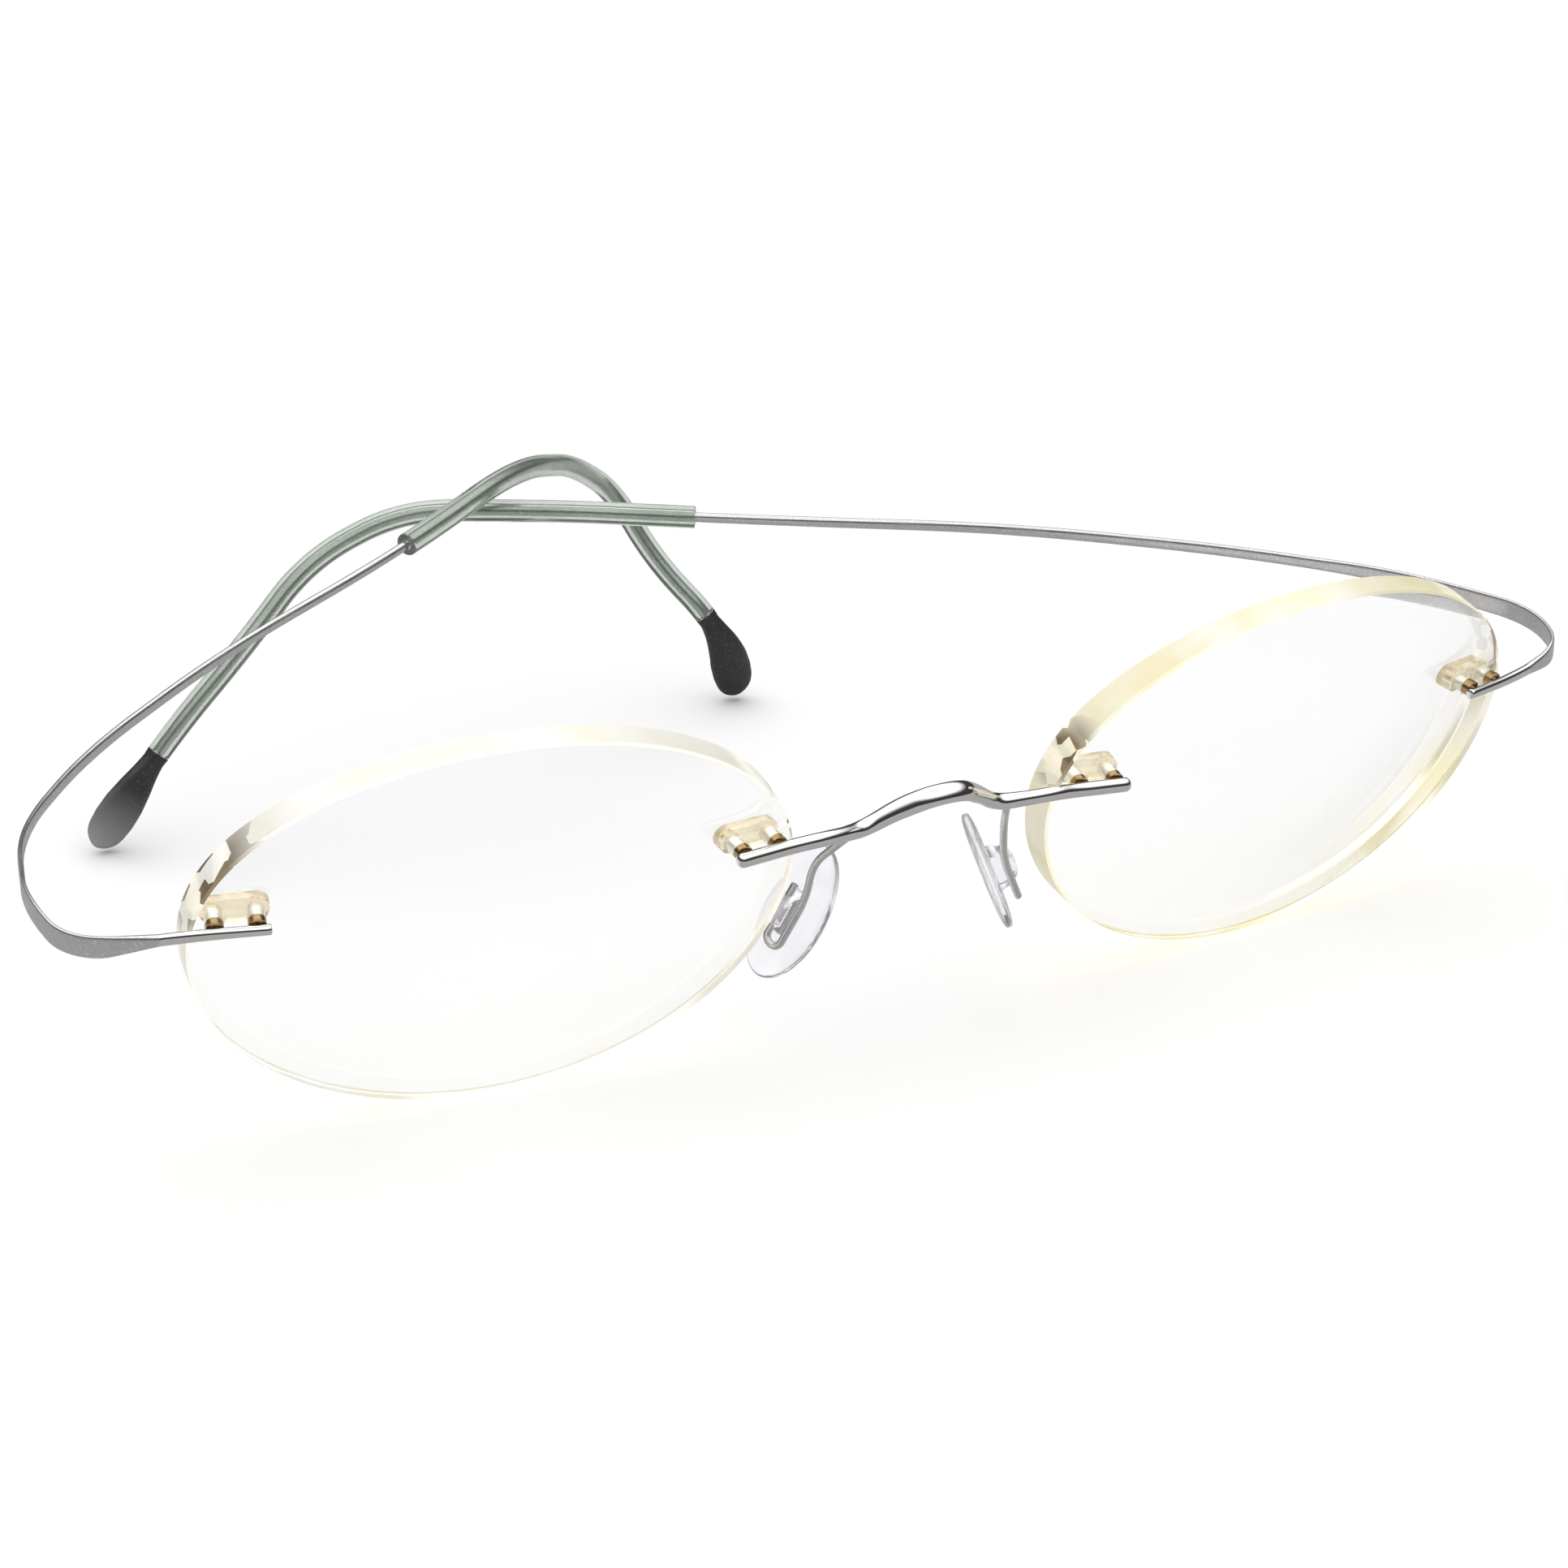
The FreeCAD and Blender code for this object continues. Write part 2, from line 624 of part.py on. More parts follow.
def temple(side):
    """Front rod, corner ribbon, side wire, ear sleeve and tip of one temple."""
    edges = temple_path(side == "right")
    whole = length_of(edges)
    start = size("sleeve_start") * size("temple_reach") / SHAPE_REACH
    tip_start = whole - size("tip_length")
    table = ribbon_table(start)
    upright = Vector(0, 0, 1)
    rod = round_bar("rod_" + side, stretch(edges, 0.0, RIBBON_START), "sizes.temple_radius")
    keep(rod, "temple_rod_" + side)
    corner = shaped_bar(edges, RIBBON_START, RIBBON_END, RIBBON_STEPS, table, upright, flat_ring)
    keep(solid_feature("corner_" + side, corner), "corner_spring_" + side)
    flat = shaped_bar(edges, RIBBON_END, start, WIRE_STEPS, table, upright, flat_ring)
    core = round_bar("core_" + side, stretch(edges, start, tip_start + CORE_IN_TIP), "sizes.temple_radius")
    wire = combine("Part::Fuse", "wire_" + side, solid_feature("flat_" + side, flat), core)
    keep(wire, "temple_wire_" + side)
    cover = round_bar("cover_" + side, stretch(edges, start, tip_start), "sizes.sleeve_radius")
    bore = round_bar("cover_bore_" + side, stretch(edges, start, tip_start),
                     "sizes.temple_radius + sizes.sleeve_clearance")
    keep(combine("Part::Cut", "sleeve_" + side, cover, bore), "ear_sleeve_" + side)
    keep(tip(side, edges, tip_start, whole), "temple_tip_" + side)
    print(side, "temple length", round(whole, 1), "sleeve", round(tip_start - start, 1))
    return rod


def tip(side, edges, start, end):
    """Paddle with a round neck, bored for the end of the core wire."""
    length = end - start
    neck = size("sleeve_radius") * 0.9
    thick = size("tip_half_thickness")
    wide = size("tip_half_width")
    table = [
        (start, size("sleeve_radius"), size("sleeve_radius")),
        (start + 0.1 * length, neck, neck),
        (start + 0.35 * length, 0.9 * thick, 0.74 * wide),
        (start + 0.6 * length, thick, wide),
        (start + 0.8 * length, 0.9 * thick, 0.86 * wide),
        (start + 0.93 * length, 0.66 * thick, 0.56 * wide),
        (end, 0.3 * thick, 0.26 * wide),
    ]
    paddle = shaped_bar(edges, start, end, TIP_STEPS, table, Vector(1, 0, 0.3), oval_ring)
    bore = round_bar("tip_bore_" + side, stretch(edges, start, start + CORE_IN_TIP + 0.2),
                     "sizes.temple_radius + sizes.sleeve_clearance")
    return combine("Part::Cut", "tip_" + side, solid_feature("paddle_" + side, paddle), bore)


# ---------------------------------------------------------------- the assembly
BLANK = lens_blank()
keep_both(lens(BLANK), "lens")
BRIDGE = keep(bridge(), "bridge")
keep_both(pad_arm(BRIDGE), "pad_arm")
keep_both(nose_pad(), "nose_pad")
LEFT_ROD = temple("left")
temple("right")
for place_name, rod_feature, radius_name, prefix in (
    ("nasal", BRIDGE, "bridge_radius", "bridge"),
    ("temporal", LEFT_ROD, "temple_radius", "temple"),
):
    keep_both(plug(place_name, BLANK), place_name + "_plug")
    keep_both(pins(place_name, rod_feature), prefix + "_pins")
    keep_both(collars(place_name, size(radius_name)), prefix + "_collars")

doc.recompute()
for feature in doc.Objects:
    if "Invalid" in feature.State or "Error" in feature.State:
        raise RuntimeError("%s failed: %s" % (feature.Name, feature.State))
os.makedirs("parts", exist_ok=True)
for feature in SUB_PARTS:
    shape = feature.Shape
    if shape.isNull() or not shape.isValid() or not shape.Solids:
        raise RuntimeError("%s has no valid solid" % feature.Label)
    shape.exportStep("parts/%s.step" % feature.Label)
    box = shape.BoundBox
    print("%-22s solids %d volume %8.2f  x %7.2f %7.2f  y %7.2f %7.2f  z %6.2f %6.2f" % (
        feature.Label, len(shape.Solids), shape.Volume,
        box.XMin, box.XMax, box.YMin, box.YMax, box.ZMin, box.ZMax))
print(len(SUB_PARTS), "sub-parts")
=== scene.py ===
# %% [markdown]
# # Rimless wire glasses
# A pair of rimless glasses lies on a white table, lenses forward, temples crossed behind them. The packed
# model gives every place and every moving body. This lesson builds the pieces that the eye sees: clear
# lenses with a pale edge, polished and satin wire, amber plugs, soft pads, sleeves and tips.

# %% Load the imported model
import math

import bmesh
import bpy
import numpy as np
from mathutils import Matrix, Vector


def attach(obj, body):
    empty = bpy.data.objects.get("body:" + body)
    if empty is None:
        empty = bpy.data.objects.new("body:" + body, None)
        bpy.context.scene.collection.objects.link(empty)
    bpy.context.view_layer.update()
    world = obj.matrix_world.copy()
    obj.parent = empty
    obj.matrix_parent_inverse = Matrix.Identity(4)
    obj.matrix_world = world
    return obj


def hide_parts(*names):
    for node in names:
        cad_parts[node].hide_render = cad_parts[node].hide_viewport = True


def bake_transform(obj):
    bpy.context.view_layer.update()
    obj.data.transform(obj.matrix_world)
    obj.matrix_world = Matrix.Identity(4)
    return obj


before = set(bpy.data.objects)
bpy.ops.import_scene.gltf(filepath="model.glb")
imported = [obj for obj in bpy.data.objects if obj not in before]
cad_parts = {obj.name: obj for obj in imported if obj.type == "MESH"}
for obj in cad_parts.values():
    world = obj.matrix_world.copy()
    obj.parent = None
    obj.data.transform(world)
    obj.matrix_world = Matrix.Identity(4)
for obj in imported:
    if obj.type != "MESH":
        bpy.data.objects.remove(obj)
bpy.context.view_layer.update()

# %% [markdown]
# ## Where a lens sits
# Each lens is a shallow shell between two spheres. It wraps round the face a little and its top leans
# forward. All the fixings are placed from this one lens frame, so the same few sizes drive the whole
# front. The lens on the wearer's right is the mirror image.

# %% Lens frame
MM = 0.001
LENS_HALF_WIDTH = 23.0 * MM
LENS_ABOVE = 15.1 * MM
LENS_BELOW = 17.0 * MM
LENS_GAP = 22.7 * MM
LENS_MIDDLE = 2.0 * MM
FRONT_RADIUS = 106.0 * MM
BACK_RADIUS = 78.0 * MM
FRONT_PLACE = 36.7 * MM
WRAP = math.radians(6.5)
TILT = math.radians(15.8)
PLUG_INSET = 3.3 * MM
PLUG_RISE = {"nasal": 2.6 * MM, "temporal": 2.5 * MM}
PLUG_SLOPE = {"nasal": 0.0, "temporal": math.radians(-4.0)}

ACROSS = Vector((math.cos(WRAP), math.sin(WRAP), 0))
LEVEL_BACK = Vector((-math.sin(WRAP), math.cos(WRAP), 0))
BACK = LEVEL_BACK * math.cos(TILT) + Vector((0, 0, math.sin(TILT)))
UPWARD = Vector((0, 0, math.cos(TILT))) - LEVEL_BACK * math.sin(TILT)


def sag(radius, reach):
    """Depth of a spherical surface at a distance from its middle."""
    return radius - np.sqrt(radius ** 2 - reach ** 2)


LENS_CENTRE = Vector((
    LENS_GAP / 2 + LENS_HALF_WIDTH * math.cos(WRAP),
    -FRONT_PLACE,
    LENS_BELOW * math.cos(TILT) - float(sag(FRONT_RADIUS, LENS_BELOW)) * math.sin(TILT),
))


def frame_at(place, along, up, outward):
    """Matrix whose local X, Y and Z are three square directions."""
    turn = Matrix((along, up, outward)).transposed().to_4x4()
    return Matrix.Translation(place) @ turn


LENS_PLACE = frame_at(LENS_CENTRE, ACROSS, UPWARD, -BACK)


def pair_frame(which):
    """Place of a pair of plugs: origin on the lens front, Z out of it, X towards the temple."""
    side = 1 if which == "temporal" else -1
    reach = side * (LENS_HALF_WIDTH - PLUG_INSET)
    depth = float(sag(FRONT_RADIUS, math.hypot(reach, PLUG_RISE[which])))
    spot = LENS_CENTRE + ACROSS * reach + UPWARD * PLUG_RISE[which] + BACK * depth
    outward = (spot - (LENS_CENTRE + BACK * FRONT_RADIUS)).normalized()
    level = (ACROSS - outward * ACROSS.dot(outward)).normalized()
    slope = PLUG_SLOPE[which]
    along = level * math.cos(slope) + outward.cross(level) * math.sin(slope)
    return frame_at(spot, along, outward.cross(along), outward)


PAIRS = {which: pair_frame(which) for which in ("nasal", "temporal")}

# %% [markdown]
# ## Making meshes
# Every piece here is a stack of rings: a wire is a ring carried along a line, a lens is rings that grow
# outwards, a pad is an oval that swells. One helper turns rings into quads. A second one finishes a
# piece: smooth shading, its material and its body. A right-hand piece is the left one with X
# turned round and its faces flipped.

# %% Mesh helpers
SIDES = {"left": 1, "right": -1}
SHARP_ANGLE = math.radians(50)
WELD_GAP = 1e-8


def ring_faces(rings, count, first=0, closed_ends=True):
    """Quads between neighbouring rings, and a flat cap on each end ring."""
    faces = []
    for r in range(rings - 1):
        low = first + r * count
        high = low + count
        for c in range(count):
            d = (c + 1) % count
            faces.append((low + c, low + d, high + d, high + c))
    if closed_ends:
        faces.append(tuple(first + c for c in reversed(range(count))))
        faces.append(tuple(first + (rings - 1) * count + c for c in range(count)))
    return faces


def joined(*shapes):
    """Joins (points, faces) shapes into one."""
    points, faces, start = [], [], 0
    for shape_points, shape_faces in shapes:
        points.append(np.asarray(shape_points, float).reshape(-1, 3))
        faces += [tuple(i + start for i in face) for face in shape_faces]
        start += len(points[-1])
    return np.concatenate(points), faces


def placed(shape, matrix):
    """A shape moved from a local place into the model's frame."""
    points, faces = shape
    m = np.array(matrix)
    return np.asarray(points) @ m[:3, :3].T + m[:3, 3], faces


def smoothed(mesh, sharp_angle):
    """Smooth shading, with an edge kept wherever faces meet more sharply than the angle."""
    for polygon in mesh.polygons:
        polygon.use_smooth = True
    mesh.set_sharp_from_angle(angle=sharp_angle)


def stored(made, name, values):
    """Keeps a number for each point of a piece, for its material to read."""
    made.data.attributes.new(name, "FLOAT", "POINT").data.foreach_set("value", values.astype(np.float32))


def piece(name, shape, materials, body, nodes, side="left", keep_order=False):
    """Makes an object, smooth shaded, that rides on a body and stands for some CAD nodes."""
    points, faces = shape
    points = np.array(points, float)
    if side == "right":
        points[:, 0] *= -1
        faces = [tuple(reversed(face)) for face in faces]
    mesh = bpy.data.meshes.new(name)
    mesh.from_pydata(points.tolist(), [], faces)
    mesh.validate()
    bm = bmesh.new()
    bm.from_mesh(mesh)
    if not keep_order:
        bmesh.ops.remove_doubles(bm, verts=bm.verts, dist=WELD_GAP)
    bmesh.ops.recalc_face_normals(bm, faces=bm.faces)
    bm.to_mesh(mesh)
    bm.free()
    smoothed(mesh, SHARP_ANGLE)
    for material in materials:
        mesh.materials.append(material)
    made = bpy.data.objects.new(name, mesh)
    bpy.context.scene.collection.objects.link(made)
    if body:
        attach(made, body)
    if nodes:
        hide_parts(*nodes)
    return made


print("sides", SIDES)

# %% [markdown]
# ## Wires
# A temple is one springy wire: round over the lens, rolled flat into a ribbon at the corner, then slowly
# round again. A curve with a bevel keeps one section all along, so it can't do that. Here a ring is
# carried along the line and changes as it goes. A superellipse gives every section with one formula: a
# power of 2 is an oval, and a higher power is a flat strip with soft edges. The line itself is straight
# runs joined by arcs, then divided into even steps.

# %% Lines
ARC_SHARE = 0.45
STEP = 0.35 * MM
SAME_SPOT = 1e-9


def distances_along(points):
    """How far along a line each of its points is."""
    return np.concatenate([[0], np.cumsum(np.linalg.norm(np.diff(points, axis=0), axis=1))])


def read_along(values, run, at):
    """Reads points or directions, known at the distances run, at other distances."""
    return np.stack([np.interp(at, run, values[:, i]) for i in range(3)], axis=-1)


def directions(line):
    """Which way a line goes at each of its points."""
    ways = np.gradient(line, axis=0)
    return ways / np.linalg.norm(ways, axis=1)[:, None]


def rounded_line(corners):
    """Even points along straight runs joined by tangent arcs."""
    corners = [np.array(c, float) for c in corners]
    points = [corners[0]]
    for before, corner, after in zip(corners, corners[1:], corners[2:]):
        way_in = (corner - before) / np.linalg.norm(corner - before)
        way_out = (after - corner) / np.linalg.norm(after - corner)
        trim = ARC_SHARE * min(np.linalg.norm(corner - before), np.linalg.norm(after - corner))
        turn = math.acos(float(np.clip(way_in @ way_out, -1, 1)))
        radius = trim / math.tan(turn / 2)
        inward = (way_out - way_in) / np.linalg.norm(way_out - way_in)
        onward = (way_in + way_out) / np.linalg.norm(way_in + way_out)
        centre = corner + inward * radius / math.cos(turn / 2)
        steps = max(4, int(radius * turn / STEP))
        for i in range(steps + 1):
            angle = turn * (i / steps - 0.5)
            out = -inward * math.cos(angle) + onward * math.sin(angle)
            points.append(centre + radius * out)
    points.append(corners[-1])
    return resampled(np.array(points), STEP)


def resampled(points, step):
    """The same line with points an even step apart."""
    gaps = np.linalg.norm(np.diff(points, axis=0), axis=1)
    keep = np.concatenate([[True], gaps > SAME_SPOT])
    points = points[keep]
    run = distances_along(points)
    count = max(2, int(round(run[-1] / step)) + 1)
    at = np.linspace(0, run[-1], count)
    return read_along(points, run, at)


def line_part(points, start, end):
    """The stretch of a line between two distances, and the distance of each of its points."""
    run = distances_along(points)
    end = min(end, run[-1])
    at = np.linspace(start, end, max(3, int(round((end - start) / STEP)) + 1))
    return read_along(points, run, at), at


print("step along a line in mm", STEP / MM)

# %% Swept and turned shapes
DOME_STEPS = 9
DOME_TIP = 0.06


def oval(angle, half_thin, half_wide, power):
    """Superellipse ring: power 2 is an oval, higher is squarer."""
    c, s = np.cos(angle), np.sin(angle)
    return (half_thin * np.sign(c) * np.abs(c) ** (2 / power),
            half_wide * np.sign(s) * np.abs(s) ** (2 / power))


def swept(line, distances, table, wide, ring=40, round_start=0.0, round_end=0.0):
    """Wire along a line. table rows: distance, half thickness, half width, power.

    round_start and round_end are lengths over which the end closes like a dome.
    """
    line = np.array(line)
    distances = np.array(distances)
    table = np.array(table, float)
    ways = directions(line)
    angle = np.linspace(0, 2 * math.pi, ring, endpoint=False)
    dome = np.linspace(0, 1, DOME_STEPS)
    stations = []
    low, high = distances[0], distances[-1]
    for spot, way, distance in zip(line, ways, distances):
        if distance < low + round_start - SAME_SPOT or distance > high - round_end + SAME_SPOT:
            continue
        stations.append((spot, way, distance, 1.0))

    def end_stations(at_start, length):
        made = []
        for share in dome[:-1]:
            offset = length * (1 - math.cos(share * math.pi / 2))
            scale = math.sin(max(share, DOME_TIP) * math.pi / 2)
            distance = low + offset if at_start else high - offset
            spot = read_along(line, distances, distance)
            way = read_along(ways, distances, distance)
            made.append((spot, way / np.linalg.norm(way), distance, scale))
        return made

    if round_start > 0:
        stations = end_stations(True, round_start) + stations
    if round_end > 0:
        stations += end_stations(False, round_end)[::-1]
    points = []
    for spot, way, distance, scale in stations:
        wide_way = np.array(wide) - way * np.dot(wide, way)
        wide_way /= np.linalg.norm(wide_way)
        thin_way = np.cross(way, wide_way)
        thin, broad, power = [np.interp(distance, table[:, 0], table[:, k]) for k in (1, 2, 3)]
        x, y = oval(angle, thin * scale, broad * scale, power)
        points.append(spot + np.outer(x, thin_way) + np.outer(y, wide_way))
    return np.concatenate(points), ring_faces(len(stations), ring)


def looped(rings, count):
    """Joins rings of points into a closed loop, the last ring to the first."""
    total = len(rings) * count
    faces = ring_faces(len(rings) + 1, count, closed_ends=False)
    return np.concatenate(rings), [tuple(i % total for i in face) for face in faces]


def revolved(profile, ring=40):
    """Turned piece about local Z. profile rows: radius, height, closed on itself."""
    angle = np.linspace(0, 2 * math.pi, ring, endpoint=False)
    points = [np.stack([r * np.cos(angle), r * np.sin(angle), np.full(ring, z)], axis=1) for r, z in profile]
    return looped(points, ring)


print("rings in a domed end", DOME_STEPS - 1)

# %% [markdown]
# ## Wear and fine grain
# No real surface is even. One node group gives a fine speckle for satin metal and matt plastic, and
# another gives a soft, slow change for handling marks. Both put out plain values, so each material
# decides what they change: its roughness, its colour or its bumps.

# %% Shared shader groups


def new_group(name, inputs, outputs):
    """Node group with named sockets. inputs: (name, default)."""
    group = bpy.data.node_groups.new(name, "ShaderNodeTree")
    for label, default in inputs:
        socket = group.interface.new_socket(label, in_out="INPUT", socket_type="NodeSocketFloat")
        socket.default_value = default
    for label in outputs:
        group.interface.new_socket(label, in_out="OUTPUT", socket_type="NodeSocketFloat")
    return group, group.nodes.new("NodeGroupInput"), group.nodes.new("NodeGroupOutput")


def speckle_group():
    """Fine grain: a height and a mask of sparse flecks."""
    group, start, end = new_group("fine_speckle", [("Scale", 6000.0), ("Flecks", 0.55)], ["Grain", "Fleck"])
    place = group.nodes.new("ShaderNodeTexCoord")
    grain = group.nodes.new("ShaderNodeTexNoise")
    grain.inputs["Detail"].default_value = 3.0
    grain.inputs["Roughness"].default_value = 0.65
    fleck = group.nodes.new("ShaderNodeTexNoise")
    fleck.inputs["Detail"].default_value = 1.0
    half = group.nodes.new("ShaderNodeMath")
    half.operation = "MULTIPLY"
    half.inputs[1].default_value = 0.6
    limit = group.nodes.new("ShaderNodeMath")
    limit.operation = "SUBTRACT"
    gain = group.nodes.new("ShaderNodeMath")
    gain.operation = "MULTIPLY"
    gain.inputs[1].default_value = 9.0
    gain.use_clamp = True
    links = group.links
    links.new(place.outputs["Object"], grain.inputs["Vector"])
    links.new(place.outputs["Object"], fleck.inputs["Vector"])
    links.new(start.outputs["Scale"], grain.inputs["Scale"])
    links.new(start.outputs["Scale"], half.inputs[0])
    links.new(half.outputs[0], fleck.inputs["Scale"])
    links.new(fleck.outputs["Fac"], limit.inputs[0])
    links.new(start.outputs["Flecks"], limit.inputs[1])
    links.new(limit.outputs[0], gain.inputs[0])
    links.new(grain.outputs["Fac"], end.inputs["Grain"])
    links.new(gain.outputs[0], end.inputs["Fleck"])
    return group


def handling_group():
    """Slow change over a surface, from 0 to 1, as left by fingers and cloths."""
    group, start, end = new_group("handling_marks", [("Scale", 250.0)], ["Mark"])
    place = group.nodes.new("ShaderNodeTexCoord")
    slow = group.nodes.new("ShaderNodeTexNoise")
    slow.inputs["Detail"].default_value = 4.0
    spread = group.nodes.new("ShaderNodeMapRange")
    spread.inputs["From Min"].default_value = 0.35
    spread.inputs["From Max"].default_value = 0.68
    group.links.new(place.outputs["Object"], slow.inputs["Vector"])
    group.links.new(start.outputs["Scale"], slow.inputs["Scale"])
    group.links.new(slow.outputs["Fac"], spread.inputs["Value"])
    group.links.new(spread.outputs["Result"], end.inputs["Mark"])
    return group


SPECKLE = speckle_group()
HANDLING = handling_group()
print("groups", SPECKLE.name, HANDLING.name)

# %% [markdown]
# ## Material helper
# Each material starts from one Principled shader. Numbers that are the same all over stay on its own
# sockets. Roughness and bumps come from the groups, so a polished wire still shows faint drawing marks
# and a satin strip glitters a little.

# %% Material helper


class Finish:
    """A material, its shader and its links, ready to be given more nodes."""

    def __init__(self, name, colour, **sockets):
        self.material = bpy.data.materials.new(name)
        self.material.use_nodes = True
        self.nodes = self.material.node_tree.nodes
        self.links = self.material.node_tree.links
        self.shader = self.nodes["Principled BSDF"]
        self.output = self.nodes["Material Output"]
        self.shader.inputs["Base Color"].default_value = (*colour, 1)
        for label, value in sockets.items():
            self.shader.inputs[label.replace("_", " ")].default_value = value

    def group(self, tree, **values):
        """Places a shared node group with this material's own values."""
        node = self.nodes.new("ShaderNodeGroup")
        node.node_tree = tree
        for label, value in values.items():
            node.inputs[label].default_value = value
        return node

    def spread(self, source, low, high, target):
        """Feeds a shader socket with a value stretched from 0..1 to low..high."""
        node = self.nodes.new("ShaderNodeMapRange")
        node.inputs["To Min"].default_value = low
        node.inputs["To Max"].default_value = high
        self.links.new(source, node.inputs["Value"])
        self.links.new(node.outputs["Result"], self.shader.inputs[target])
        return node

    def tint(self, source, first, second):
        """Base colour mixed from two by a mask."""
        node = self.nodes.new("ShaderNodeMix")
        node.data_type = "RGBA"
        node.inputs["A"].default_value = (*first, 1)
        node.inputs["B"].default_value = (*second, 1)
        self.links.new(source, node.inputs["Factor"])
        self.links.new(node.outputs["Result"], self.shader.inputs["Base Color"])
        return node

    def bump(self, source, distance, strength=0.5):
        """Bumps of a real height in metres."""
        node = self.nodes.new("ShaderNodeBump")
        node.inputs["Strength"].default_value = strength
        node.inputs["Distance"].default_value = distance
        self.links.new(source, node.inputs["Height"])
        self.links.new(node.outputs["Normal"], self.shader.inputs["Normal"])
        return node

    def light_shadow(self, colour):
        """Lets most light through to the table, tinted, as thin clear plastic does."""
        path = self.nodes.new("ShaderNodeLightPath")
        clear = self.nodes.new("ShaderNodeBsdfTransparent")
        clear.inputs["Color"].default_value = (*colour, 1)
        mix = self.nodes.new("ShaderNodeMixShader")
        self.links.new(path.outputs["Is Shadow Ray"], mix.inputs["Fac"])
        self.links.new(self.shader.outputs["BSDF"], mix.inputs[1])
        self.links.new(clear.outputs["BSDF"], mix.inputs[2])
        self.links.new(mix.outputs["Shader"], self.output.inputs["Surface"])


def metal(name, colour, low, high, grain_scale, bump):
    """Metal whose roughness and tiny bumps come from grain and handling."""
    finish = Finish(name, colour, Metallic=1.0)
    marks = finish.group(HANDLING, Scale=400.0)
    speckle = finish.group(SPECKLE, Scale=grain_scale, Flecks=0.58)
    finish.spread(marks.outputs["Mark"], low, high, "Roughness")
    finish.bump(speckle.outputs["Grain"], bump)
    return finish


print("shared groups", [tree.name for tree in bpy.data.node_groups])

# %% [markdown]
# ## Metals
# The wires are beta titanium, a grey metal that is a touch warmer than steel. The bridge and the front
# rods are polished, so they mirror the bright room above and the dark room beside them. The corner
# ribbons are rolled and tumbled, which leaves a satin face full of tiny flecks. The little pins are
# plated and look dark gold through the amber plugs.

# %% Metal finishes
polished = metal("polished_titanium", (0.72, 0.705, 0.70), 0.06, 0.14, 9000.0, 0.6e-6)
satin = metal("satin_titanium", (0.62, 0.615, 0.62), 0.26, 0.38, 12000.0, 0.9e-6)
satin_speckle = satin.group(SPECKLE, Scale=11000.0, Flecks=0.57)
satin.tint(satin_speckle.outputs["Fleck"], (0.60, 0.595, 0.60), (0.76, 0.755, 0.76))
pin_metal = metal("plated_pin", (0.62, 0.50, 0.33), 0.10, 0.20, 9000.0, 1.0e-6)
collar_metal = metal("dark_gold_collar", (0.36, 0.25, 0.12), 0.14, 0.24, 9000.0, 1.0e-6)
print("metals", [m.material.name for m in (polished, satin, pin_metal, collar_metal)])

# %% [markdown]
# ## Clear and amber plastics
# The lenses are a high-index resin, almost colourless through the faces but straw yellow along the cut
# edge, where light travels a long way inside. So each lens has two materials: a clear face and a pale
# yellow edge, ground finely rather than polished. The plugs and their small plates are amber resin. The
# pads are clear silicone, softer looking than glass, so they are a little rough and scatter some light.

# %% Lens faces
lens_face = Finish("lens_face", (0.985, 0.985, 0.985), Transmission_Weight=1.0, Roughness=0.0, IOR=1.6)
lens_face.light_shadow((0.97, 0.97, 0.96))
print(lens_face.material.name)

# %% Painted facet reflections in a cut edge


def painted_facet_reflection_group():
    """Painted dark reflections in a cut edge: 1 where a facet near a fixing gets a painted dark reflection, 0
    elsewhere.
    """
    group, start, end = new_group("edge_painted_facet_reflections", [("Scale", 700.0), ("Share", 0.5)], ["Facet"])
    place = group.nodes.new("ShaderNodeTexCoord")
    cells = group.nodes.new("ShaderNodeTexVoronoi")
    near = group.nodes.new("ShaderNodeAttribute")
    near.attribute_name = "near_fixing"
    parts = group.nodes.new("ShaderNodeSeparateColor")
    pick = group.nodes.new("ShaderNodeMath")
    pick.operation = "LESS_THAN"
    both = group.nodes.new("ShaderNodeMath")
    both.operation = "MULTIPLY"
    group.links.new(place.outputs["Object"], cells.inputs["Vector"])
    group.links.new(start.outputs["Scale"], cells.inputs["Scale"])
    group.links.new(cells.outputs["Color"], parts.inputs["Color"])
    group.links.new(parts.outputs["Red"], pick.inputs[0])
    group.links.new(start.outputs["Share"], pick.inputs[1])
    group.links.new(pick.outputs[0], both.inputs[0])
    group.links.new(near.outputs["Fac"], both.inputs[1])
    group.links.new(both.outputs[0], end.inputs["Facet"])
    return group


PAINTED_FACET_REFLECTIONS = painted_facet_reflection_group()
print("group", PAINTED_FACET_REFLECTIONS.name)

# %% Lens edges and drilled holes
EDGE_UNEVEN = 0.35


